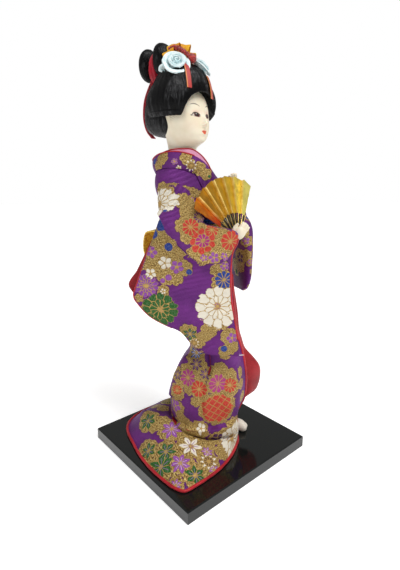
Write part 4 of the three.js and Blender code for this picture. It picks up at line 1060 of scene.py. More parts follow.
skirt_grid = skirt_points()
outside = facing(grid_normals(skirt_grid), skirt_grid - [FOOT_X, 0, 60], 40)
skirt_grid = press(skirt_grid, outside, SKIRT_FOLDS)
skirt_grid[..., 2] = np.maximum(skirt_grid[..., 2], BOARD_TOP + 0.9)
cloth("kimono_skirt_cloth", skirt_grid, THIN, LINED, (FOOT_X, 0, 40), "brocade", ["kimono_skirt"],
      190, "draped", ["base_board", "under_kimono_cloth"], pattern=(SKIRT_FLOWERS, SKIRT_CLOUDS, 46, 11))


# The red piping round the skirt's edges and hem, and the swelling red under-kimono

def piping_path():
    shown = skirt_grid[:, 0, 2] <= 150
    near = skirt_grid[shown, 0]
    far = skirt_grid[shown, -1]
    hem = skirt_grid[-1, 1:-1].copy()
    away = unit(hem - [FOOT_X, 0, 0]) * [1, 1, 0]
    hem = hem + away * 0.7
    hem[:, 2] = BOARD_TOP + 1.2
    path = np.concatenate([near, hem, far[::-1]])
    return curve(path[::4], 520)


def puckered(along, turn):
    return 0.06 * np.sin(along * 420 + np.cos(turn)) + 0.05 * np.sin(along * 173)


piping = tube("hem_piping_roll", piping_path(), 1.15, RED_PIPING, 10, wobble=puckered)
finish(piping, "figure", "red_piping", "hem_piping")

UNDER_LOW = 39
UNDER_HIGH = 163
UNDER = through([
    [39, 8], [42, 12], [48, 14.6], [57, 15.6], [66, 14.6], [75, 9.6], [83, 4.6], [95, 3.8], [115, 4],
    [135, 2.5], [150, 1.6], [163, 1.2],
])
OPEN_MIDDLE = (OPEN_FROM + OPEN_TO) / 2
OPEN_HALF = 14.5


def under_points():
    away = np.concatenate([np.linspace(-22, 22, 66), np.linspace(26, 334, 60)])
    z = np.linspace(UNDER_LOW, UNDER_HIGH, 90)[:, None]
    swell = UNDER(z[:, 0])
    off = np.minimum(1, np.abs(away) / OPEN_HALF)
    out = swell * np.cos(off * np.pi / 2) ** 0.8
    fold = np.sin(away / 3.1 + z / 34) * 0.55 + np.sin(away / 1.3 - z / 21) * 0.2
    out = out + fold * (off < 1) * ease(UNDER_HIGH - z, 0, 50)
    return body_point(z + 0 * away, OPEN_MIDDLE + away[None, :], out - 1.8)


cloth("under_kimono_cloth", under_points(), THIN, [RED_SILK], (10, -3, 90), "red_silk", ["under_kimono"], 150,
      "draped", ["kimono_skirt_cloth"], wrap=True)


# The bodice and the waist

def chest_point(z, degrees, grow=0.0):
    """The bodice's surface, which stands forward under the crossed collars."""
    front = np.exp(-((np.mod(np.asarray(degrees) + 62 + 180, 360) - 180) / 46) ** 2)
    swell = 4.2 * ease(z, 192, 214) * front
    return body_point(z, degrees, grow + swell)


def bodice_points():
    turn = np.linspace(0, 360, 150, endpoint=False)
    z = np.linspace(175, 229, 44)[:, None]
    points = chest_point(z + 0 * turn, turn[None, :])
    angle = np.radians(turn)
    top = np.stack([
        NECK[0] + 14.5 * np.cos(angle), NECK[1] + 1.5 + 13.5 * np.sin(angle), np.full(len(turn), 234.0)], -1)
    between = [mix(points[-1], top, t) + [0, 0, 0.8 * math.sin(math.pi * t)] for t in (0.33, 0.66, 1.0)]
    points = np.concatenate([points, np.array(between)])
    rows = np.arange(len(points))[:, None]
    soft = 0.35 * ripple(turn[None, :] / 14, rows / 6.0, 2) * ease(rows, 2, 12) * ease(46 - rows, 0, 8)
    return points + grid_normals(points, True) * soft[..., None]


BODICE_FLOWERS = [
    (160, 204, 17, "white wheel", 10), (191, 166.3, 6, "white maple", 30),
    (209.4, 176.3, 1.8, "green dot", 0),
]
BODICE_CLOUDS = [
    (201, 171, 5), (207, 177, 5), (211, 182, 4), (178, 190, 5), (186, 191, 6), (194, 193, 6), (201, 196, 6),
    (162, 190, 8), (168, 196, 8),
]
cloth("kimono_bodice_cloth", bodice_points(), 0.7, LINED, (-3, 3, 205), "brocade", ["kimono_bodice"],
      75, "draped", ["body_core"], pattern=(BODICE_FLOWERS, BODICE_CLOUDS, 12, 5, False), wrap=True)

OBI_LOW = 162
OBI_HIGH = 188


def obi_points():
    turn = np.linspace(0, 360, 140, endpoint=False)
    z = np.linspace(OBI_LOW, OBI_HIGH, 26)[:, None]
    fold = 0.35 * np.sin((z - OBI_LOW) / (OBI_HIGH - OBI_LOW) * np.pi * 3)
    fold = fold + 0.25 * np.cos(np.radians(turn * 3))
    return body_point(z + 0 * turn, turn[None, :], 2.2 + fold)


cloth("obi_band", obi_points(), 1.2, [GOLD_CLOTH], (1, -3, 175), "gold_brocade", ["obi"], 27, "stretched",
      ["kimono_bodice_cloth"], wrap=True)


def waist_ring(z, grow, count=121):
    turn = np.linspace(90, 450, count)
    return body_point(np.full(count, float(z)), turn, grow)


def scarf_wobble(along, turn):
    return 0.35 * np.sin(along * 96 + np.cos(turn) * 1.5) + 0.2 * np.sin(along * 41 + turn)


def front_y(z):
    """How far forward the body's front is at a height."""
    return body_point(np.array(z), np.array(-90.0))[1]


SCARF_Z = 190.3
scarf = tube("obi_scarf_roll", waist_ring(SCARF_Z, 2.3), 2.0, BLUE_SILK, 14, wobble=scarf_wobble)
knot_grid = super_grid((-0.5, front_y(SCARF_Z) - 3.4, 191), (4.4, 2.5, 2.7), 2.2, 14, 20)
scarf = joined("obi_scarf_roll", [scarf, closed("scarf_knot", knot_grid, BLUE_SILK)], BLUE_SILK)
padded(scarf, "figure", "blue_silk", "obi_scarf")


def rope_wobble(along, turn):
    return 0.16 * np.cos(3 * turn + along * 330)


CORD_Z = 173.7
CORD_KNOT = [(-5, -3.6, 172.6), (-1, -5.2, 175.4), (2.4, -5.2, 172.4), (-1.2, -4.6, 171.6), (-3, -5.4, 174.6),
             (4.4, -3.6, 174.2)]
cord = tube("obi_cord_twist", waist_ring(CORD_Z, 3.5, 260), 1.0, RED_SILK, 18, wobble=rope_wobble)
knot_line = curve(CORD_KNOT + np.array([0, front_y(CORD_Z), 0]), 60)
cord_knot = tube("cord_knot", knot_line, 1.0, RED_SILK, 12, wobble=rope_wobble)
cord = joined("obi_cord_twist", [cord, cord_knot], RED_SILK)
finish(cord, "figure", "red_silk", "obi_cord")


def drum_points():
    """The drum knot's cloth: up over the top, round the back, folded under and up again inside."""
    side = body_point(np.array(170.0), np.array(90.0))[1] + 3.4
    path = curve([
        (side, 174), (side + 2, 180), (side + 12, 181), (side + 20, 178.5), (side + 23.5, 171),
        (side + 23, 162), (side + 19, 157.6), (side + 13, 158), (side + 9, 161), (side + 7, 166)], 44)
    across = np.linspace(-21.5, 21.5, 40)
    sag = 0.8 * np.cos(across / 21.5 * np.pi / 2) + 0.25 * np.sin(across / 3.0)
    away = unit(path - [side + 11, 169])
    grid = np.zeros((44, 40, 3))
    grid[..., 0] = across
    grid[..., 1] = path[:, :1] + away[:, :1] * sag
    grid[..., 2] = path[:, 1:] + away[:, 1:] * sag
    return grid


cloth("obi_drum_fold", drum_points(), 1.0, [GOLD_CLOTH], (0, 27, 169), "gold_brocade", ["obi_drum"],
      43, "folded", ["obi_band"])


# Collars: bands from her nape over the shoulders to the crossing, her left one on top. Points are from the
# neck's axis; each band's lower seam lies on the bodice

NEAR_COLLAR = [
    (0, 21, 231), (-8, 20.5, 232), (-15, 16, 232.6), (-17.2, 6, 236), (-14.6, -4, 237.6),
    (-9.5, -13, 236.8), (-3.2, -18.8, 234.2), (2.2, -21.6, 230.6), (7.4, -26.8, 220), (10.5, -27.5, 208),
    (11, -25, 197),
]
FAR_COLLAR = [
    (0, 21, 230.6), (8, 20.5, 231.2), (15, 16, 230.6), (17.2, 6, 232), (15, -3.6, 231.4),
    (11.6, -11.6, 227.6), (8.8, -18, 223.6), (5.6, -25, 217), (-0.5, -28.2, 209), (-8, -26, 198),
]
NEAR_UNDER = [
    (0, 19, 230.6), (-7, 18.5, 231.6), (-13, 14, 232.4), (-15.4, 6, 236), (-13, -4, 238.8),
    (-8, -10.8, 239.3), (-1.8, -13.8, 239), (2.6, -16.6, 236), (6.6, -20.6, 229.5), (9, -24, 219),
]
FAR_UNDER = [
    (0, 19, 230.4), (7, 18.5, 230.8), (13, 14, 230.6), (15.4, 6, 232.4), (13.4, -3.8, 232.2),
    (10.8, -9.8, 229.8), (8.6, -15.4, 227), (7, -20.4, 222.5), (4, -24.4, 216),
]


def collar_points(line, width, out, grow):
    line = curve(line, 110) + NECK
    place = np.linspace(0, 1, len(line))[:, None]
    away = unit((line - NECK - [0, 2, 0]) * [1, 1, 0])
    down = unit(np.cross(away, unit(np.gradient(line, axis=0))))
    down = np.where(down[:, 2:] > 0, -down, down)
    seam = line + down * width
    row = BODY(np.minimum(seam[:, 2], 229))
    angle = np.degrees(np.arctan2(seam[:, 1] - row[:, 1], seam[:, 0] - row[:, 0]))
    laid = chest_point(np.minimum(seam[:, 2], 229), angle, grow)
    seam = laid + [0, 0, 1] * (seam[:, 2:] - laid[:, 2:])
    v = np.linspace(0, 1, 14)[:, None, None]
    hollow = out * np.sin(v * np.pi) * (1 - 0.5 * place)
    return line * (1 - v) + seam * v + away * hollow


def ride_on(points, outward):
    return points + unit((points - NECK - [0, 2, 0]) * [1, 1, 0]) * outward


FAR_FLOWERS = [(209.4, 176.3, 1.8, "green dot", 0)]
NEAR_FLOWERS = [
    (154.6, 161.3, 3.2, "blue dot", 0), (174.4, 161.3, 3.4, "purple plum", 0),
    (191.3, 165.6, 6.2, "white maple", 30), (170, 168.5, 2.8, "white plum", 0),
    (178.8, 168, 3, "white plum", 0), *FAR_FLOWERS,
]
COLLAR_CLOUDS = [
    (162, 158, 7), (158, 166, 6), (166, 169, 4), (186, 158, 6.5), (190, 163, 5), (200, 168, 6.5),
    (206, 174, 6), (196, 173, 4),
]
IN_NECK = (NECK[0], NECK[1] + 2, 215)
for name, line, under_line, lift, flowers in (
        ("right", NEAR_COLLAR, NEAR_UNDER, 0.0, NEAR_FLOWERS),
        ("left", FAR_COLLAR, FAR_UNDER, 0.9, FAR_FLOWERS)):
    grid = ride_on(collar_points(line, 11, 1.2, 0.6), lift)
    cloth(f"kimono_collar_{name}_band", grid, 0.8, LINED, IN_NECK, "brocade", [f"kimono_collar_{name}"],
          11, "folded", ["kimono_bodice_cloth"], pattern=(flowers, COLLAR_CLOUDS, 6, 3, False))
    under_grid = collar_points(under_line, 8, 0.6, -1.2)
    cloth(f"under_collar_{name}_band", under_grid, 0.6, [PINK_SILK], IN_NECK, "pink_silk",
          [f"under_collar_{name}"], 10.5, "folded", [f"kimono_collar_{name}_band"])
    edges = [
        tube(f"collar_edge_{name}", under_grid[0, 20:104] + [0, 0, 0.1], 0.42, RED_PIPING, 8),
        tube(f"collar_back_edge_{name}", grid[0, :62] + [0, 0, 0.1], 0.42, RED_PIPING, 8)]
    finish(joined(f"collar_edge_{name}", edges, RED_PIPING), "figure", "red_piping")


# Sleeves: bags that hang from the arms. Rows from the shoulder down give the rear edge's place and height,
# the front edge's place and height, the distance from the doll's axis and the half-thickness

RIGHT_SLEEVE = [
    (-21, 217.5, -14, 217.5, 13, 4), (-26, 211.5, -6.5, 211.5, 17, 9), (-26.3, 202, 0.5, 203, 22, 10.5),
    (-25, 195, 3.6, 195.5, 26, 11), (-26.5, 189, 7, 189.5, 28.5, 10.5), (-29, 182.5, 26.6, 184.5, 28.5, 9),
    (-31.3, 177, 28, 177, 28.5, 8), (-34.5, 169, 24.6, 169, 28, 6.5), (-38, 159, 24, 158, 27.5, 5),
    (-41.5, 149, 24, 146, 27, 4.2), (-45, 139, 24.6, 135, 26.5, 3.6), (-42.3, 132.6, 25.8, 127, 26.5, 3.2),
    (-33.7, 122.8, 27.3, 118, 26.5, 3), (-22.5, 116, 28.8, 109, 26.5, 2.8),
    (-12.5, 111, 30.2, 102, 26.5, 2.6), (-5.3, 102, 31, 96, 26.5, 2.4), (1.9, 94, 31, 91.5, 26.5, 2),
]
LEFT_SLEEVE = [
    (-14, 217, -7, 217, 14, 4), (-19, 211, -1, 211, 19, 8.5), (-18, 202, 2, 202, 25, 9.5),
    (-17, 194, 5, 194, 31, 9.5), (-19, 187, 11, 187, 34.5, 9), (-21, 179, 15, 180, 36, 8),
    (-23, 169, 17.5, 170, 36.5, 6), (-24, 158, 18, 158, 36.5, 4.8), (-23, 147, 18, 146, 36.5, 3.8),
    (-19, 138, 14.5, 137.5, 36.5, 3), (-12, 134, 8, 133.5, 36.5, 2.2),
]
RIGHT_TURN = -40.7
LEFT_TURN = 69
SLEEVE_OPEN = 176


def sleeve_axes(turn, side):
    turn = math.radians(turn)
    along = np.array([math.cos(turn), math.sin(turn), 0]) * -side
    out = np.array([-along[1], along[0], 0]) * side
    return along, out


def sleeve_points(rows, turn, side, count, round_count):
    """Rings from the rear edge's inner side round the front edge to its outer side."""
    along, out = sleeve_axes(turn, side)
    at = through([[i, *row] for i, row in enumerate(rows)])(np.linspace(0, len(rows) - 1, count))
    rear, rear_z, front, front_z, depth, half = [at[:, k:k + 1] for k in range(6)]
    angle = np.radians(np.linspace(-SLEEVE_OPEN, SLEEVE_OPEN, round_count))[None, :]
    across = 0.5 + 0.5 * np.cos(angle)
    swell = np.sign(np.sin(angle)) * np.abs(np.sin(angle)) ** 0.75
    points = along * mix(rear, front, across)[..., None] + out * (depth + half * swell)[..., None]
    points[..., 2] = mix(rear_z, front_z, across)
    return points


SLEEVE_FOLDS = [
    ("step", [(233, 256), (222, 261), (210, 264), (197, 261), (184, 250), (175, 241), (168, 230), (163, 221),
              (159, 206)], 5.6, 11),
    ("step", [(168, 183), (178, 186), (188, 193), (196, 204), (201, 216), (203, 226)], 2.8, 8),
    ("ridge", [(196, 262), (206, 276), (214, 290)], 1.7, 7),
    ("ridge", [(224, 262), (222, 284), (224, 316)], -1.2, 6),
    ("ridge", [(168, 284), (178, 306), (196, 326)], 1.6, 9),
    ("ridge", [(152, 262), (146, 284), (142, 300)], 1.0, 6),
    ("ridge", [(186, 194), (196, 208), (200, 220)], -1.2, 5),
    ("ridge", [(204, 226), (200, 240), (204, 254)], -0.7, 4),
    ("ridge", [(222, 232), (219, 244), (222, 256)], -0.5, 4),
    ("ridge", [(176, 216), (184, 232), (188, 246)], -0.8, 5),
    ("ridge", [(204, 318), (210, 334), (214, 350)], -1.2, 5),
]
SLEEVE_FLOWERS = [
    (168.5, 247, 4.6, "blue dot", 0), (165, 263, 7.2, "white plum", 0), (150.6, 273.8, 6, "white plum", 20),
    (176.9, 267, 7.4, "purple plum", 10), (151.2, 252, 6.6, "purple plum", 30),
    (189, 272, 3.4, "blue dot", 0), (168.5, 277.5, 3.6, "purple dot", 0),
    (162.5, 280.6, 2.9, "purple dot", 0), (146, 286, 12.5, "purple wheel", 0),
    (160, 309.4, 18.6, "green wheel", 5), (163, 291.5, 3.4, "white plum", 0),
    (190, 334, 8, "green maple", 0), (194, 343, 6, "white maple", 0), (223.8, 280, 9.8, "blue wheel", 0),
    (218, 307, 22.5, "white wheel", 14), (231.9, 338, 5.8, "purple plum", 0),
    (224, 348.8, 3.6, "blue dot", 0), (190.6, 227, 8.8, "red wheel", 0),
    (203, 241, 13, "two-tone wheel", 0), (230.6, 241.3, 10.6, "red wheel", 8),
    (213.8, 257.5, 5.6, "purple plum", 0), (204, 258, 4, "purple plum", 0),
    (224.6, 256.5, 4.6, "purple plum", 20), (212, 229.5, 7, "red wheel", 20),
    (160.6, 224, 7, "blue dot", 0), (164.8, 210.6, 2.6, "blue dot", 0), (224.4, 266, 5, "purple plum", 0),
    # The dark flower at this line's end is painted shade, in the shaded mouth of the sleeve
    (160, 204, 17, "white wheel", 10), (154.5, 234, 5, "blue dot", 0), (199, 217, 6, "dark wheel", 0),
]
SLEEVE_CLOUDS = [
    (183, 201, 9), (190, 209, 11), (187, 217, 8), (195, 216, 8), (182, 226, 8), (187, 236, 8),
    (196, 228, 10), (206, 240, 15), (220, 238, 12), (230, 246, 11), (193, 254, 8), (203, 258, 8),
    (214, 254, 10), (221, 266, 8), (216, 270, 7), (158, 240, 11), (165, 250, 12), (156, 258, 10),
    (172, 258, 12), (184, 268, 9), (176, 278, 8), (166, 276, 10), (158, 268, 10), (154, 240, 8),
    (160, 232, 7), (167, 236, 6), (171, 243, 8), (181, 250, 7), (146, 262, 9), (163, 291, 7),
    (222, 281, 12), (216, 291, 7), (221, 322, 9), (209, 330, 9), (205, 336, 7), (213, 318, 8),
    (229, 336, 9), (231, 347, 8), (225, 351, 7), (188, 331, 9), (197, 341, 9), (203, 336, 5), (139, 298, 5),
    (145, 308, 5), (162, 186, 10), (168, 192, 7), (163, 198, 9), (163, 206, 6), (225, 299, 8),
]


def soft_sleeve(rows, turn, side, count, round_count, picked, soften):
    """A sleeve's points, unevened as soften says, and its normals and axes."""
    along, out = sleeve_axes(turn, side)
    grid = sleeve_points(rows, turn, side, count, round_count)
    outside = facing(grid_normals(grid), along, picked)
    row = np.arange(count)[:, None]
    soft = soften(np.arange(round_count)[None, :], row)
    return grid + outside * (soft * ease(row, 2, 14))[..., None], outside, along, out


def right_soft(col, row):
    return 0.45 * ripple(col / 13.0, row / 15.0, 4) * ease(row, 6, 30) + 0.2 * ripple(col / 5.0, row / 6.0, 7)


def left_soft(col, row):
    return 0.5 * ripple(col / 12.0, row / 13.0, 9) + 0.2 * ripple(col / 5.0, row / 6.0, 2)


sleeve_grid, outside, along_axis, out_axis = soft_sleeve(
    RIGHT_SLEEVE, RIGHT_TURN, -1, 130, 130, np.s_[60, 60:70], right_soft)
sleeve_grid = press(sleeve_grid, outside, SLEEVE_FOLDS)
cloth("right_sleeve_cloth", sleeve_grid, THIN, LINED, sleeve_grid.mean(1, keepdims=True), "brocade",
      ["right_sleeve"], 150, "hung", ["arm_right"], pattern=(SLEEVE_FLOWERS, SLEEVE_CLOUDS, 24, 23, False))


def lining_points():
    rows = through([
        (139, -46.5, -22), (144, -49.5, -16), (156, -43, -13), (168, -36.8, -12), (177, -32.2, -12)])
    z = np.linspace(177, 139, 40)[:, None]
    edge = rows(z[:, 0])
    u = np.linspace(0, 1, 24)[None, :]
    place = mix(edge[:, :1], edge[:, 1:], u)
    depth = 20.2 + 0.5 * np.sin(u * 9 + z / 9) * (1 - u)
    points = along_axis * place[..., None] + out_axis * depth[..., None]
    points[..., 2] = z + 0 * u
    return points


cloth("right_sleeve_lining_cloth", lining_points(), THIN, [RED_SILK], (0, 0, 160), "red_silk",
      ["right_sleeve_lining"], 38, "hung", ["right_sleeve_cloth"])

# A roll of lining that shows along both mouths of the right sleeve
for name, edge, count, thick in (
        ("rear", sleeve_grid[52:112, -1][::4], 70, 0.55),
        ("front", sleeve_grid[46:112, 65][::4] + along_axis * 0.25, 90, 0.75)):
    finish(tube(f"sleeve_{name}_roll", curve(edge, count), thick, RED_PIPING, 8), "figure", "red_piping")

LEFT_FLOWERS = [
    (240, 257.5, 5.6, "dark plum", 0), (236.5, 271.5, 2.8, "green dot", 0),
    (245.5, 241, 4.4, "purple plum", 0), (247, 218, 2.4, "blue dot", 0), (250, 262, 3, "purple plum", 0),
]
LEFT_CLOUDS = [(240, 257, 9), (246, 256, 7), (236, 266, 8), (241, 267, 6), (247, 218, 4), (246, 232, 4)]
left_grid = soft_sleeve(LEFT_SLEEVE, LEFT_TURN, 1, 96, 110, np.s_[50, 50:60], left_soft)[0]
cloth("left_sleeve_cloth", left_grid, THIN, LINED, left_grid.mean(1, keepdims=True), "brocade",
      ["left_sleeve"], 120, "hung", ["arm_left"], pattern=(LEFT_FLOWERS, LEFT_CLOUDS, 40, 31))

# The left cuff, raised from the elbow to the wrist
ELBOW = np.array([36, -9, 186.0])
WRIST = np.array([26.5, -12, 206.0])
cuff_axis = unit(WRIST - ELBOW)
cuff_side = unit(np.cross(cuff_axis, [0, 1, 0]))
cuff_other = np.cross(cuff_axis, cuff_side)
turn = np.linspace(0, 2 * np.pi, 64, endpoint=False)
rise = np.linspace(-5, np.linalg.norm(WRIST - ELBOW) + 0.5, 34)[:, None]
size = 7.0 + 0.4 * ripple(turn[None, :] * 2, rise / 5, 3) - 0.8 * ease(rise, 12, 23)
cuff_grid = ELBOW + cuff_axis * rise[..., None] + (
    cuff_side * (np.cos(turn) * size)[..., None] + cuff_other * (np.sin(turn) * size)[..., None])
cloth("left_cuff_cloth", cuff_grid, THIN, LINED, cuff_grid.mean(1, keepdims=True), "brocade", [],
      44, "draped", ["arm_left"], pattern=([(247, 218, 2.4, "blue dot", 0)], [(247, 218, 4)], 8, 37), wrap=True)
cuff_rim = np.concatenate([cuff_grid[-1], cuff_grid[-1][:1]]) + cuff_axis * 0.3
finish(tube("left_cuff_roll", curve(cuff_rim[::3], 80), 0.7, RED_PIPING, 8), "figure", "red_piping")

# The white tack thread at the skirt's front edge
TACK_PIXEL = (238.5, 354.6)
ray = pixel_ray(*TACK_PIXEL)
flat_skirt = skirt_grid.reshape(-1, 3)
off_ray = np.linalg.norm(np.cross(flat_skirt - EYE, ray), axis=1)
near_ray = np.argmin(off_ray + 0.02 * ((flat_skirt - EYE) @ ray))
tack_start = flat_skirt[near_ray]
tack = tube("tack_thread", curve([
    tack_start + RIGHT * right + BACK * near for right, near in (
        (-1.0, 0.1), (0.8, 1.0), (2.6, 0.7), (4.0, -0.2))], 16), 0.3, WHITE_THREAD, 6)
finish(tack, "figure", "white_cotton")


# The head. Its own frame: x to her left, y behind her, z up, with the origin on the neck's axis

HAIR_TURN = math.radians(6)
FACE_TURN = math.radians(5.5)


def turned(points, angle):
    c, s = math.cos(angle), math.sin(angle)
    points = np.asarray(points, float)
    x, y = points[..., 0], points[..., 1]
    return np.stack([x * c - y * s, x * s + y * c, points[..., 2]], -1)


def from_face(points):
    """From the face's frame to the doll's."""
    return turned(points, HAIR_TURN + FACE_TURN) + NECK


def from_hair(points):
    return turned(points, HAIR_TURN) + NECK


HEAD_RINGS = through([
    [231.5, 0, 10.2, 10.2], [236, 0, 10, 10], [239.5, 0.2, 9.9, 10.1], [241.2, 0.7, 9.8, 11],
    [242.5, 1.6, 9.9, 12.4], [244.5, 3.4, 10.9, 14.6], [247.5, 4.3, 12.9, 15.5], [252, 4.0, 15.2, 16],
    [256, 3.6, 16.6, 16.4], [260, 3.2, 17.4, 16.6], [264, 2.6, 17.6, 16.6], [269, 2, 17.3, 16.2],
    [274, 1.4, 15.8, 14.6], [278.5, 0.8, 12.4, 11.4], [281.5, 0.4, 7.5, 7],
])
EYE_X = 5.7
EYE_Z = 260.8


# Wings of the nose, eye sockets, lids, cheeks, lips and chin: place across and up, half sizes, height
FACE_MOUNDS = [
    (0, 255.3, 1.5, 1.5, 0.9), (1.6, 254.7, 0.9, 0.9, 0.55), (5.4, 261.2, 3.6, 2.4, -0.75),
    (EYE_X, EYE_Z - 0.1, 2.7, 1.15, 0.42), (5.6, 265.6, 4.6, 1.6, 0.25), (7.0, 253.5, 4.4, 4.4, 0.45),
    (0, 251.0, 2.6, 1.0, 0.55), (0.8, 251.25, 0.8, 0.6, 0.18), (0, 249.3, 2.0, 0.9, 0.6),
    (0, 250.25, 2.5, 0.28, -0.35), (0, 253.1, 0.5, 0.8, -0.2), (0, 247.4, 2.4, 0.8, -0.35),
    (0, 244.6, 3.6, 2.2, 0.7),
]


def mound(x, z, x0, z0, wide, high, height):
    """A soft rise on the face about a point."""
    return height * np.exp(-((x - x0) / wide) ** 2 - ((z - z0) / high) ** 2)


def head_grid():
    turn = np.concatenate([
        np.linspace(-180, -150, 16, endpoint=False), np.linspace(-150, -30, 260, endpoint=False),
        np.linspace(-30, 180, 66, endpoint=False)])
    z = np.concatenate([
        np.linspace(231.5, 240.5, 14, endpoint=False), np.linspace(240.5, 270, 150, endpoint=False),
        np.linspace(270, 281.5, 16)])
    rings = HEAD_RINGS(z)
    forward, wide, deep = [rings[:, k:k + 1] for k in range(3)]
    angle = np.radians(turn)[None, :]
    x = wide * np.cos(angle)
    y = -forward + deep * np.sin(angle)
    z = np.broadcast_to(z[:, None], x.shape)
    front = ease(-np.sin(angle), 0.2, 0.6)
    side = np.abs(x)
    # A slim bridge of the nose first
    bridge = ease(z, 253.6, 255.6) * ease(264 - z, 0, 5)
    rise = 2.3 * np.exp(-(x / (1.15 + 0.06 * (262 - z).clip(0, 9))) ** 2) * bridge * ease(265.5 - z, 0, 9)
    for place in FACE_MOUNDS:
        rise += mound(side, z, *place)
    grid = np.stack([x, y, z], -1)
    normal = facing(grid_normals(grid, True), np.array([0, -1, 0]), np.s_[80, 120:130])
    return grid + normal * (rise * front)[..., None]


def paint_face(grid):
    """The colours laid on the face, with how strongly they cover."""
    x, z = grid[..., 0], grid[..., 2]
    front = grid[..., 1] < -4
    side = np.abs(x)
    tone = np.zeros((*x.shape, 4))

    def lay(cover, shade):
        cover = np.clip(cover, 0, 1) * front
        old = tone[..., 3:]
        new = cover[..., None]
        total = new + old * (1 - new)
        kept = tone[..., :3] * old * (1 - new)
        tone[..., :3] = (np.array(shade[:3]) * new + kept) / np.maximum(total, 1e-6)
        tone[..., 3:] = total

    def edge(gap, soft=0.16):
        return ease(gap, -soft, soft)

    lay(mound(side, z, 8.4, 254.5, 4.2, 3.4, 0.1), colour(236, 170, 150))
    lay(mound(side, z, 5.8, 262.8, 3.4, 1.3, 0.34), colour(226, 158, 140))
    # Almond eye: an upper and a lower arc between its two corners
    t = (side - 3.0) / 6.4
    within = edge(side - 2.9, 0.2) * edge(9.5 - side, 0.4)
    arch = np.sqrt(np.clip(1 - (2 * t - 0.94) ** 2, 0, 1))
    tilt = 0.5 * t
    upper = 259.9 + 2.05 * arch + tilt
    lower = 259.9 - 0.5 * arch + tilt
    opened = edge(upper - z) * edge(z - lower) * within
    lay(opened, colour(206, 196, 184))
    iris = edge(2.15 - np.hypot(side - EYE_X, (z - 261.0) * 0.95), 0.2) * opened
    lay(iris, colour(84, 26, 22))
    pupil = edge(1.15 - np.hypot(side - EYE_X, z - 261.1), 0.2) * opened
    lay(pupil, colour(24, 12, 12))
    # Painted highlight: a small white glint on the iris, as if it caught a lamp
    lay(edge(0.26 - np.hypot(side - EYE_X - 0.45, z - 261.6), 0.12) * opened, colour(246, 240, 230))
    lash = edge(0.44 - np.abs(z - upper - 0.08), 0.14) * edge(side - 2.9, 0.3) * edge(10.2 - side, 0.5)
    lay(lash * 0.95, colour(40, 22, 20))
    lay(edge(0.12 - np.abs(z - lower), 0.1) * within * 0.45, colour(150, 96, 84))
    crease = edge(0.13 - np.abs(z - upper - 1.15), 0.12) * edge(side - 4, 0.5) * edge(8.6 - side, 0.6)
    lay(crease * 0.3, colour(176, 120, 104))
    # Brows: thin arcs that fade at their ends
    b = (side - 2.8) / 7.4
    brow_z = 266.3 + 1.5 * np.sin(np.clip(b, 0, 1) * np.pi * 0.82)
    brow = edge(0.34 * np.sin(np.clip(b, 0, 1) * np.pi) ** 0.6 - np.abs(z - brow_z), 0.16)
    lay(brow * edge(side - 2.8, 0.5) * edge(10.2 - side, 0.6) * 0.85, colour(62, 50, 44))
    # Lips: a small bow above a round lower lip
    bow = 251.5 - 0.35 * np.cos(np.clip(side / 0.85, 0, np.pi)) - 0.42 * (side / 1.6) ** 2
    upper_lip = edge(bow - z) * edge(z - 250.2) * edge(2.35 - side, 0.25)
    lower_lip = edge(250.4 - z) * edge(z - (248.75 + 0.85 * (side / 1.7) ** 2)) * edge(1.9 - side, 0.25)
    lay(np.maximum(upper_lip, lower_lip) * 0.95, colour(224, 82, 34))
    lay(edge(0.14 - np.abs(z - 250.3), 0.1) * edge(1.9 - side, 0.3) * 0.7, colour(150, 36, 26))
    lay(mound(side, z, 0.85, 254.1, 0.42, 0.26, 0.35), colour(150, 96, 84))
    # Fine painted hairs at the hairline and before the ears
    strand = 0.5 + 0.5 * np.sin(x * 9 + z * 5 * np.sign(x))
    side_hair = ease(side, 11.6, 14.2) * ease(z, 255, 260)
    lay(side_hair * strand ** 3 * 0.75, colour(58, 54, 52))
    fringe = ease(np.hypot(x / 17.0, (z - 256.5) / 19.2), 0.9, 0.99) * ease(z, 258, 264)
    lay(fringe * (0.5 + 0.5 * np.sin(np.arctan2(z - 256, x) * 90)) ** 3 * 0.6, colour(58, 54, 52))
    return tone


head_points = head_grid()
painted = paint_face(head_points)
head = closed("head_moulding", from_face(head_points), FACE_SKIN, 75)
layer = head.data.attributes.new("paint", "FLOAT_COLOR", "POINT")
values = np.concatenate([painted.reshape(-1, 4), np.zeros((2, 4))]).astype(np.float32)
layer.data.foreach_set("color", values.ravel())
finish(head, "head", "skin", "head")


# Hair: one swept surface over the crown and both wings, cut back round the face

CROWN = (np.array([0, 1, 274.0]), np.array([20.5, 22, 22]), 2.5, 0)
WINGS = [
    (np.array([side * 13.5, 0, 271.0]), np.array([9.8, 18.5, 15.0]), 2.3, FACE_TURN) for side in (-1, 1)]
FACE_WINDOW = (np.array([0, -25, 256.5]), np.array([20.5, 17, 20.0]), 2.2, FACE_TURN)
WING_FLOOR = 260.5


def depth_in(points, egg):
    """Below 1 inside a stretched sphere, above 1 outside."""
    centre, size, power, turn = egg
    local = (turned(points, -turn) - centre) / size
    return (np.abs(local) ** power).sum(-1) ** (1 / power)


def hair_reach(way, eggs, start):
    """How far the outermost of several eggs is along each direction."""
    low = np.zeros(way.shape[:-1])
    high = np.full(way.shape[:-1], 60.0)
    for _ in range(40):
        middle = (low + high) / 2
        points = start + way * middle[..., None]
        gaps = np.stack([depth_in(points, egg) for egg in eggs])
        soft = -np.log(np.exp(-16 * gaps).sum(0)) / 16
        inside = soft < 1
        low = np.where(inside, middle, low)
        high = np.where(inside, high, middle)
    return low


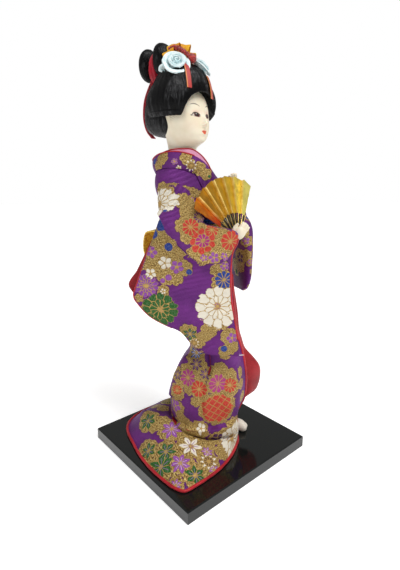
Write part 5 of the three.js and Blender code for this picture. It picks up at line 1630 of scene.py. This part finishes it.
def draw_in(points, turn):
    """The combed hair narrows towards the knot above the wings, most at the back."""
    height = np.clip((points[..., 2:] - 266) / 31, 0, 1)
    behind = ease(np.sin(turn)[..., None], -0.6, 0.7)
    narrowed = 1 - mix(0.05, 0.18, behind) * ease(height, 0, 0.8)
    return CROWN[0] + (points - CROWN[0]) * np.concatenate([narrowed, narrowed, np.ones_like(narrowed)], -1)


def hair_points():
    start = CROWN[0]
    turn = np.linspace(-180, 180, 260, endpoint=False) - 90
    fine = np.radians(np.linspace(88, -60, 300))
    angle = np.radians(turn)[:, None]
    way = ball_ways(fine, angle)
    points = start + way * hair_reach(way, [CROWN, *WINGS], start)[..., None]
    points = draw_in(points, angle)
    gone = (depth_in(points, FACE_WINDOW) < 1) | (points[..., 2] < WING_FLOOR)
    stop = np.where(gone.any(1), gone.argmax(1), 299)
    smooth = np.convolve(np.concatenate([stop[-2:], stop, stop[:2]]), np.ones(5) / 5, "valid")
    t = np.linspace(0, 1, 90)
    lines = [
        [np.interp(t * last, np.arange(300), along) for along in line.T] for line, last in zip(points, smooth)]
    return np.array(lines).transpose(2, 0, 1)


def strands(grid, seed, depth):
    """Combs fine grooves down a grid of hair."""
    normal = facing(grid_normals(grid, True), grid - grid.mean((0, 1)))
    cols = grid.shape[1]
    col = np.arange(cols)[None, :]
    row = np.linspace(0, 1, grid.shape[0])[:, None]
    turn = 2 * np.pi * col / cols
    drift = 0.5 * np.sin(turn * 3 + seed) + row * 0.8
    comb = (
        np.sin(turn * 31 + drift * 3) * 0.4 + np.sin(turn * 53 + seed + drift * 5) * 0.35
        + np.sin(turn * 83 + seed * 2 + drift * 2) * 0.25)
    return grid + normal * (comb * depth)[..., None] * ease(row, 0.0, 0.08)[..., None]


outer_hair = strands(hair_points(), 1.0, 0.16)
rim = outer_hair[-1]
inside_rim = []
for t in (0.12, 0.35, 0.7, 1.0):
    tuck = rim * [mix(1, 0.72, t), mix(1, 0.72, t), 1]
    tuck[:, 1] = mix(rim[:, 1], rim[:, 1] * 0.78, t)
    tuck[:, 2] = rim[:, 2] + mix(-0.5, 2.4, ease(t, 0.1, 1))
    inside_rim.append(tuck)
hair_rings = from_hair(np.concatenate([outer_hair, np.array(inside_rim)]))
hair_main = closed("hair_crown_combed", hair_rings, HAIR, 70)
finish(hair_main, "head", "hair", "hair_crown", "hair_wing_right", "hair_wing_left")

# A fine rim just above the wings' flat lower edge, where the hair turns under
low = outer_hair[-1][:, 2] < WING_FLOOR + 2.5
rim_line = from_hair(outer_hair[-5] + [0, 0, 0.4])
runs = np.flatnonzero(np.diff(np.concatenate([[0], low.astype(int), [0]])))
for k, (a, b) in enumerate(zip(runs[::2], runs[1::2])):
    if b - a > 12:
        finish(tube(f"hair_turn_{k}", rim_line[a:b][::2], 0.55, HAIR, 8), "head", "hair")


def lobe(node, centre, size, power, seed, rows, cols, sag):
    grid = super_grid(centre, size, power, rows, cols)[::-1]
    grid[..., 1] += sag * ((grid[..., 2] - centre[2]) / size[2]) ** 2
    finish(closed(f"{node}_lobe", from_hair(strands(grid, seed, 0.14)), HAIR, 70), "head", "hair", node)


lobe("hair_back", (0, 8.6, 262), (18.6, 17, 13.6), 3.2, 2.0, 60, 110, 0)
lobe("bun_front", (0.6, 18, 302), (8.2, 6.4, 10.8), 2.2, 3.0, 44, 84, 1.4)
lobe("bun_rear", (0.8, 35, 300.4), (8, 5.4, 11.3), 2.2, 4.0, 44, 84, -0.8)

BUN_CLOTH = np.array([0, 25.6, 297])
cloth_grid = super_grid(BUN_CLOTH, (5.4, 5.2, 10.6), 2.0, 40, 64)
level = (cloth_grid[..., 2:] - BUN_CLOTH[2]) / 10.6
crumple = 0.45 * np.sin(np.arange(64)[None, :, None] * 0.9 + level * 4) * (1 - level ** 2)
cloth_grid = cloth_grid + unit(cloth_grid - BUN_CLOTH) * crumple
padded(closed("bun_cloth_folds", from_hair(cloth_grid), RED_CLOTH), "head", "red_silk", "bun_cloth")

RIBBON = [(-0.5, 27, 291.5), (-1.6, 29.6, 287), (-3, 31.2, 282.5), (-4.4, 33.2, 276), (-5, 34.2, 269),
          (-5.2, 33.8, 261), (-4.8, 31, 253.5), (-4, 26.8, 248.8)]
ribbon_line = curve(RIBBON, 90)
across = np.linspace(-2.1, 2.1, 12)
ribbon_grid = ribbon_line[:, None, :] + np.stack([across, 0.35 * np.cos(across * 1.4), 0 * across], -1)[None]
cloth("back_ribbon_cloth", from_hair(ribbon_grid), 0.45, [RED_CLOTH], NECK + [0, 0, 268], "red_silk",
      ["back_ribbon"], NARROWEST, "hung", ["bun_cloth_folds"], "head")


def band_grid(degrees, low, high, width):
    """A ribbon that lies on the combed hair, from one height to another along a meridian."""
    rise = np.radians(np.linspace(high, low, 60))[:, None]
    side = np.linspace(-width, width, 9)[None, :]
    turn = math.radians(degrees) + np.arctan2(side, 20 * np.cos(rise) + 4)
    way = ball_ways(rise, turn)
    points = CROWN[0] + way * hair_reach(way, [CROWN, *WINGS], CROWN[0])[..., None]
    return draw_in(points, turn) + way * 0.7


for name, degrees, low, high in (("right", -119, 6, 62), ("left", -63, -4, 32)):
    cloth(f"hair_band_{name}_cloth", from_hair(band_grid(degrees, low, high, 1.7)), 0.4, [BAND],
          NECK + [0, 0, 272], "red_silk", [f"hair_band_{name}"], NARROWEST, "laid", ["hair_crown_combed"],
          "head")


# Hair ornaments

def petal_grid(turn, radius, height, spread, roll):
    """One cupped petal with a rolled lip, growing from the flower's middle."""
    shape = [(0.22, 0), (0.72, 0.22), (0.93, 0.62), (1, 0.95), (1 + 0.5 * roll, 1 + 0.08 * roll),
             (1 + 0.95 * roll, 1 - 0.12 * roll), (1 + 0.9 * roll, 1 - 0.34 * roll)]
    line = curve(np.array(shape) * [radius, height], 16)
    u = np.linspace(-1, 1, 17)[None, :]
    v = np.linspace(0, 1, 16)[:, None]
    angle = math.radians(turn) + u * math.radians(spread) * (0.55 + 0.45 * np.sin(v * np.pi / 2))
    dip = 1 - 0.24 * np.abs(u) ** 3 * v - 0.05 * np.sin(u * 5 + turn) * v
    reach = line[:, :1] * (1 - 0.08 * u ** 2) + 0.02 * radius * np.sin(u * 7 + turn) * v
    return np.stack([reach * np.cos(angle), reach * np.sin(angle), line[:, 1:] * dip], -1)


# How many petals, their size, height, spread in degrees and rolled lip, and the first one's turn
PETAL_ROUNDS = [(2, 0.6, 0.95, 118, 0.34, 40), (3, 1.0, 0.6, 72, 0.36, 95)]


def upright_axes(way):
    """A direction with the two across it, the first of them level."""
    axis = unit(np.array(way, float))
    across = unit(np.cross([0, 0, 1.0], axis))
    return across, np.cross(axis, across), axis


def rose(node, centre, way, radius):
    """A satin rose: a wound bud inside two rounds of rolled petals."""
    name = f"{node}_petals"
    axes = upright_axes(way)
    axis = axes[2]
    centre = np.array(centre)

    def placed(grid, sunk):
        return from_hair(along_axes(grid - [0, 0, sunk * radius], *axes) + centre)
    parts = []
    for level, (count, size, height, spread, roll, first) in enumerate(PETAL_ROUNDS):
        for k in range(count):
            turn = first + 360 * k / count + 9 * math.sin(k * 2.3 + level)
            lip = roll * (1 + 0.3 * math.sin(k * 3.1))
            grid = petal_grid(turn, radius * size, radius * height * 0.95, spread, lip)
            parts.append(shell(f"{name}_petal_{level}_{k}", placed(grid, 0.3), 0.5, [SATIN],
                               from_hair(centre + axis * radius * 2)))
    spiral_turn = np.linspace(0, 3.2 * np.pi, 90)
    spiral = (0.06 + 0.38 * spiral_turn / spiral_turn[-1]) * radius
    v = np.linspace(0, 1, 7)[:, None]
    lip = spiral * (1 + 0.12 * v ** 3)
    high = radius * (0.2 + 0.8 * v) * (0.98 - 0.1 * spiral / radius)
    grid = np.stack([lip * np.cos(spiral_turn), lip * np.sin(spiral_turn), high + 0 * spiral], -1)
    parts.append(shell(f"{name}_bud", placed(grid, 0.26), 0.4, [SATIN], from_hair(centre - axis * radius)))
    heart = super_grid(np.zeros(3), (0.62 * radius, 0.62 * radius, 0.4 * radius), 2.0, 16, 24)
    parts.append(closed(f"{name}_heart", placed(heart, 0.05), SATIN))
    made = joined(name, parts, SATIN)
    finish(made, "head", "satin", node)


rose("rose_right", (-11.2, -7.0, 292.2), (-0.45, -0.68, 0.57), 7.0)
rose("rose_left", (10.5, -8.2, 293.4), (0.4, -0.5, 0.77), 6.4)

LEAF_PLACE = np.array([-11.6, -2.4, 290.8])
leaf_axes = upright_axes([-0.75, -0.1, 0.65])
leaf_points = from_hair(along_axes(petal_grid(200, 6.0, 3.2, 46, 0.25), *leaf_axes) + LEAF_PLACE)
cloth("rose_leaf_fold", leaf_points, 0.5, [SATIN], from_hair(LEAF_PLACE + leaf_axes[2] * 20), "satin",
      ["rose_leaf"], 10, "folded", ["hair_crown_combed"], "head")


def loop_grid(lean, swing, height, width, wide):
    """A standing loop of ribbon, wide across and tapering to its knot."""
    t = np.linspace(0, 1, 40)[:, None]
    u = np.linspace(-1, 1, 9)[None, :]
    angle = 2 * np.pi * t
    x = width * np.sin(angle) * (0.35 + 0.65 * (1 - np.cos(angle)) / 2)
    z = height * ((1 - np.cos(angle)) / 2) ** 0.85
    taper = 0.3 + 0.7 * ((1 - np.cos(angle)) / 2) ** 0.7
    y = wide * u * taper
    z = z + 0.25 * np.sin(u * 4 + lean) * taper
    points = np.stack(np.broadcast_arrays(x + 0 * u, y, z), -1)
    a, b = math.radians(lean), math.radians(swing)
    spun = turned(points, b)
    return np.stack([
        spun[..., 0] * math.cos(a) + spun[..., 2] * math.sin(a), spun[..., 1],
        spun[..., 2] * math.cos(a) - spun[..., 0] * math.sin(a)], -1)


GOLD_LOOPS = [
    (-46, 30, 15.6, 4.2, 4.4), (-18, 20, 17, 4.2, 4.6), (12, 36, 17.8, 4.0, 4.6), (38, 24, 17, 4.2, 4.6),
    (62, 30, 13.4, 3.6, 4),
]
loops = []
for k, shape in enumerate(GOLD_LOOPS):
    points = loop_grid(*shape) + [0.8, 1.4 + 0.9 * math.sin(k * 2.1), 291.5]
    look = GOLD_NET if k == 4 else GOLD_RIBBON
    loops.append(shell(f"gold_loop_{k}", from_hair(points), 0.4, [look], from_hair(points.mean((0, 1)))))
gold_loops = joined("gold_ribbon_loops", loops, GOLD_RIBBON)
finish(gold_loops, "head", "gold_brocade", "gold_ribbon")


def crepe_wobble(along, turn):
    return 0.14 * np.sin(along * 46 + 2.2 * np.cos(turn)) + 0.12 * np.sin(3 * turn + along * 31)


crepe_line = curve([
    (-9, 1.6, 303.2), (-7.6, -1.8, 304.2), (-5.6, -5.2, 303), (-3.2, -8.4, 300.4), (-1, -10.4, 297.8)], 60)
crepe_bar = tube("crepe_bar", from_hair(crepe_line), 1.5, CREPE, 20, flat=0.9, wobble=crepe_wobble)
ball = super_grid(np.zeros(3), (1, 1, 1), 2.0, 30, 44)
dimple = 0.03 * np.sin(ball[..., 0] * 9) * np.sin(ball[..., 1] * 9 + 1) * np.sin(ball[..., 2] * 9 + 2)
ball = ball * (3.1 * (1 + 2.0 * dimple))[..., None] + [-0.4, -11.2, 297.2]
crepe_ball = closed("crepe_ball", from_hair(ball), CREPE)
crepe = joined("crepe_ribbon_roll", [crepe_bar, crepe_ball], CREPE)
padded(crepe, "head", "red_silk", "crepe_ribbon")


# Hands and feet

def hand(node, centre, reach, spread, palm, fingers, thumb, wrist):
    """A mitten-like moulded hand: palm, four fingers, thumb and wrist, melted together."""
    name = f"{node}_moulding"
    reach = unit(np.array(reach, float))
    spread = unit(np.array(spread, float) - reach * np.dot(spread, reach))
    front = np.cross(reach, spread)
    centre = np.array(centre, float)

    def at(s, f, r):
        return centre + spread * s + front * f + reach * r
    grid = super_grid(np.zeros(3), (palm[0], palm[2], palm[1]), 2.4, 18, 26)
    parts = [closed(name, along_axes(grid, spread, front, reach) + centre, SKIN)]
    for k, (s, length, bend) in enumerate(fingers):
        line = curve([
            at(s, 0, palm[1] * 0.3), at(s * 1.1, 0.2 * bend, palm[1] * 0.95),
            at(s * 1.12, bend, palm[1] + length * 0.55), at(s * 1.08, bend * 2.2, palm[1] + length)], 14)
        parts.append(tube(f"{name}_finger_{k}", line, np.linspace(1.3, 1.02, 14), SKIN, 12))
    thumb_line = curve([at(*p) for p in thumb], 12)
    parts.append(tube(f"{name}_thumb", thumb_line, np.linspace(1.5, 1.1, 12), SKIN, 12))
    parts.append(tube(f"{name}_wrist", curve([at(*p) for p in wrist], 10), 2.7, SKIN, 16))
    finish(joined(name, parts, SKIN, 0.28, 3), "figure", "skin", node)


hand(
    "right_hand", (7.4, -37.4, 182.4), (0.5, -0.42, 0.75), (0.66, -0.35, -0.64), (4.0, 4.6, 2.8),
    [(-2.3, 2.8, 0.6), (-0.8, 3.3, 0.7), (0.8, 3.2, 0.7), (2.25, 2.7, 0.6)],
    [(-3.6, 0.6, -2.5), (-4.8, 1.6, 0.8), (-4.4, 2.2, 4.4)],
    [(0, 0, -1), (-0.4, 0.2, -4.6), (-1.2, 0.4, -8.4)])
hand(
    "left_hand", (26, -12.6, 212.9), (-0.25, -0.05, 1), (1, 0, 0.25), (4.8, 5.2, 2.7),
    [(-2.9, 4.6, -0.4), (-1.0, 5.3, -0.6), (0.95, 5.1, -0.6), (2.8, 4.3, -0.4)],
    [(-3.4, -0.6, -2.6), (-5.0, -1.4, 0.6), (-4.9, -1.8, 3.8)], [(0, 0, -1), (0.2, 0, -5), (0.6, 0.2, -8)])


def tabi(name, node, degrees):
    """A split-toed cotton sock on its foot, up to the ankle."""
    low, high = np.array(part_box(node)) / MM
    c, s = math.cos(math.radians(degrees)), math.sin(math.radians(degrees))
    side = np.array([c, s, 0])
    toe = np.array([s, -c, 0])
    middle = np.array(FEET[name])
    floor = low[2]
    parts = []
    for off, reach, wide, long, tall in FOOT_LUMPS:
        centre = middle + side * off + toe * reach + [0, 0, floor + tall]
        grid = super_grid(np.zeros(3), (wide, long, tall), 2.3, 22, 30)
        lump = along_axes(grid, side, -toe, np.array([0, 0, 1])) + centre
        parts.append(closed(f"{name}_{off}", lump, COTTON))
    ankle = middle - toe * 3.6
    line = curve([ankle + [0, 0, floor + 4], ankle + [0, 0, floor + 9], ankle + [0, 0, high[2] + 0.1]], 14)
    parts.append(tube(f"{name}_ankle", line, 3.75, COTTON, 20))
    padded(joined(name, parts, COTTON, 0.32, 2), "figure", "white_cotton", node)


# Each lump's place across and along, its half sizes and its height
FOOT_LUMPS = [
    (0, 2.6, 4.5, 8.4, 4.6), (0, -4.2, 3.9, 5.6, 4.8), (-1.8, 8.4, 2.5, 4.3, 3.4), (2.0, 7.6, 2.4, 4.5, 3.1)]
FEET = {"tabi_right": (1, 3, 0), "tabi_left": (26.5, -15.5, 0)}
tabi("tabi_right", "foot_right", 4)
tabi("tabi_left", "foot_left", 26)


# The folding fan: seven foil leaves on sticks, each one carried by its own joint, pleated between

FAN_YAW = math.radians(6.2)
FAN_LEAN = math.radians(17.3)
FAN_ACROSS = np.array([math.cos(FAN_YAW), math.sin(FAN_YAW), 0])
FAN_NORMAL = np.array([
    math.cos(FAN_LEAN) * math.sin(FAN_YAW), -math.cos(FAN_LEAN) * math.cos(FAN_YAW), math.sin(FAN_LEAN)])
FAN_UP = np.cross(FAN_NORMAL, FAN_ACROSS)
BEHIND_FAN = FAN_PIVOT - FAN_NORMAL * 60
LEAF_INNER = 17.5
LEAF_OUTER = 43.5
FIRST_ANGLE = 55.6
BLADE_ANGLE = 13.3
PITCH = 0.72
TILT = math.radians(6.5)
BLADE_THICK = 0.4


def on_blade(blade, x, y, z):
    """From a blade's own flat drawing to the doll's frame."""
    x, y, z = np.broadcast_arrays(x, y, z)
    c, s = math.cos(TILT), math.sin(TILT)
    raised = np.stack([x, y * c - z * s, y * s + z * c], -1)
    swung = turned(raised, math.radians(FIRST_ANGLE + (blade - 1) * BLADE_ANGLE))
    swung[..., 2] -= (blade - 1) * PITCH
    return FAN_PIVOT + along_axes(swung, FAN_ACROSS, FAN_UP, FAN_NORMAL)


def across_blade(blade, radius, degrees, height):
    """Points on a blade along one of its directions."""
    angle = math.radians(degrees)
    return on_blade(blade, radius * math.cos(angle), radius * math.sin(angle), height)


def blade_body(blade):
    return "figure" if blade == 1 else f"blade_{blade}"


for blade in range(1, 8):
    far_edge = BLADE_ANGLE - 0.4
    angle = np.radians(np.linspace(-0.1, far_edge, 18))[None, :]
    across = np.linspace(0, 1, 18)[None, :]
    straight = math.cos(math.radians(far_edge / 2)) / np.cos(angle - math.radians(far_edge / 2))
    radius = mix(LEAF_INNER - 0.05, (LEAF_OUTER + 0.3) * straight, np.linspace(0, 1, 46)[:, None])
    lift = 0.1 * np.sin(radius * 0.9 + blade) * np.sin(across * 7 + blade * 2)
    lift = lift + 0.5 * across * radius / LEAF_OUTER
    top = on_blade(blade, radius * np.cos(angle), radius * np.sin(angle), BLADE_THICK + 0.03 + lift)
    leaf = shell(
        f"fan_leaf_{blade}", top, BLADE_THICK + 0.06, [FOIL_REFLECTING_RED if blade == 7 else FOILS[blade - 1]],
        BEHIND_FAN + FAN_UP * 30)
    stick_line = np.linspace(1.0, LEAF_INNER + 0.8, 16)[:, None]
    width = np.linspace(-1, 1, 7)[None, :]
    ridge = BLADE_THICK + 0.06 - 0.12 * np.abs(width) ** 3
    swell = mix(1.5, 1.45, stick_line / LEAF_INNER)
    stick = shell(
        f"fan_stick_{blade}", on_blade(blade, stick_line, width * swell + 1.0, ridge + 0 * stick_line),
        BLADE_THICK + 0.1, [STICK_WOOD], BEHIND_FAN + FAN_UP * 10)
    # Pale foil tubes along both sides of the stick: painted highlights
    edges = []
    for side in (-1, 1):
        line = on_blade(blade, stick_line[:, 0], side * swell[:, 0] + 1.0, BLADE_THICK / 2)
        edges.append(tube(f"fan_stick_edge_{blade}_{side}", line, 0.26, FOIL_HIGHLIGHT, 6))
    edge = joined(f"fan_stick_edge_{blade}", edges, FOIL_HIGHLIGHT)
    round_end = super_grid((0, 0, BLADE_THICK / 2), (2.0, 2.0, BLADE_THICK * 0.7), 6, 10, 28)
    boss = closed(f"fan_boss_{blade}", on_blade(blade, *np.moveaxis(round_end, -1, 0)), STICK_WOOD)
    body = blade_body(blade)
    finish(leaf, body, "gold_foil", f"fan_blade_{blade}")
    for made in (stick, boss):
        finish(made, body, "wood")
    finish(edge, body, "gold_foil")

# The pleats' narrow returns: pale strips between neighbouring blades
for blade in range(1, 7):
    radius = np.linspace(LEAF_INNER + 0.2, LEAF_OUTER - 0.2, 40)
    top_edge = across_blade(blade, radius, BLADE_ANGLE - 0.15, BLADE_THICK + 0.5 * radius / LEAF_OUTER)
    low_edge = across_blade(blade + 1, radius, 0.55, BLADE_THICK + 0.1)
    bow = across_blade(blade, radius, BLADE_ANGLE + 0.4, BLADE_THICK * 0.8)
    t = np.linspace(0, 1, 9)[:, None, None]
    grid = (1 - t) ** 2 * top_edge + 2 * t * (1 - t) * bow + t * t * low_edge
    # The returns are in the pale foil: painted highlights along the pleats
    strip = shell(f"fan_return_{blade}", grid, 0.15, [FOIL_HIGHLIGHT], BEHIND_FAN + FAN_UP * 30)
    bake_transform(strip)


# Floor, light and world

floor_mesh = bpy.data.meshes.new("studio_floor")
FLOOR = 4.0
floor_mesh.from_pydata(
    [(x * FLOOR, y * FLOOR, -0.0002) for x, y in ((-1, -1), (1, -1), (1, 1), (-1, 1))], [], [(0, 1, 2, 3)])
floor = bpy.data.objects.new("studio_floor", floor_mesh)
bpy.context.scene.collection.objects.link(floor)
floor_look = Shader("studio_floor")
floor_mesh.materials.append(floor_look.done(
    colour(252, 252, 252), 0.9, Specular_IOR_Level=0.1, Emission_Color=(1, 1, 1, 1), Emission_Strength=0.5))


def light(name, kind, power, way, place=(0, 0, 0), **look):
    """A lamp that shines from a direction. The far ones are soft, so that the floor stays white."""
    made_light = bpy.data.lights.new(name, kind)
    made_light.energy = power
    for what, value in look.items():
        setattr(made_light, what, value)
    made = bpy.data.objects.new(name, made_light)
    bpy.context.scene.collection.objects.link(made)
    made.location = place
    made.rotation_euler = (-Vector(way)).to_track_quat("-Z", "Y").to_euler()


light("key", "SUN", 1.3, (0.14, -0.92, 1.1), angle=math.radians(24))
light("side", "SUN", 0.2, (-0.9, 0.2, 0.8), angle=math.radians(40))
light("top", "AREA", 1.7, (-0.06, -0.25, 0.63), place=(-0.06, -0.25, 0.85), shape="DISK", size=0.2)

world = bpy.data.worlds.new("studio")
bpy.context.scene.world = world
world.use_nodes = True
nodes = world.node_tree.nodes
links = world.node_tree.links
nodes.clear()
path = nodes.new("ShaderNodeLightPath")
seen = nodes.new("ShaderNodeMath")
seen.operation = "MAXIMUM"
links.new(path.outputs["Is Camera Ray"], seen.inputs[0])
links.new(path.outputs["Is Transmission Ray"], seen.inputs[1])
either = nodes.new("ShaderNodeMixShader")
links.new(seen.outputs[0], either.inputs[0])
# What lights the doll, and the white that the camera sees
for k, tone, strength in ((1, (1.0, 0.99, 0.98, 1), 0.32), (2, (1, 1, 1, 1), 1.0)):
    sky = nodes.new("ShaderNodeBackground")
    sky.inputs[0].default_value = tone
    sky.inputs[1].default_value = strength
    links.new(sky.outputs[0], either.inputs[k])
ending = nodes.new("ShaderNodeOutputWorld")
links.new(either.outputs[0], ending.inputs[0])
bpy.context.scene.view_settings.view_transform = "Standard"
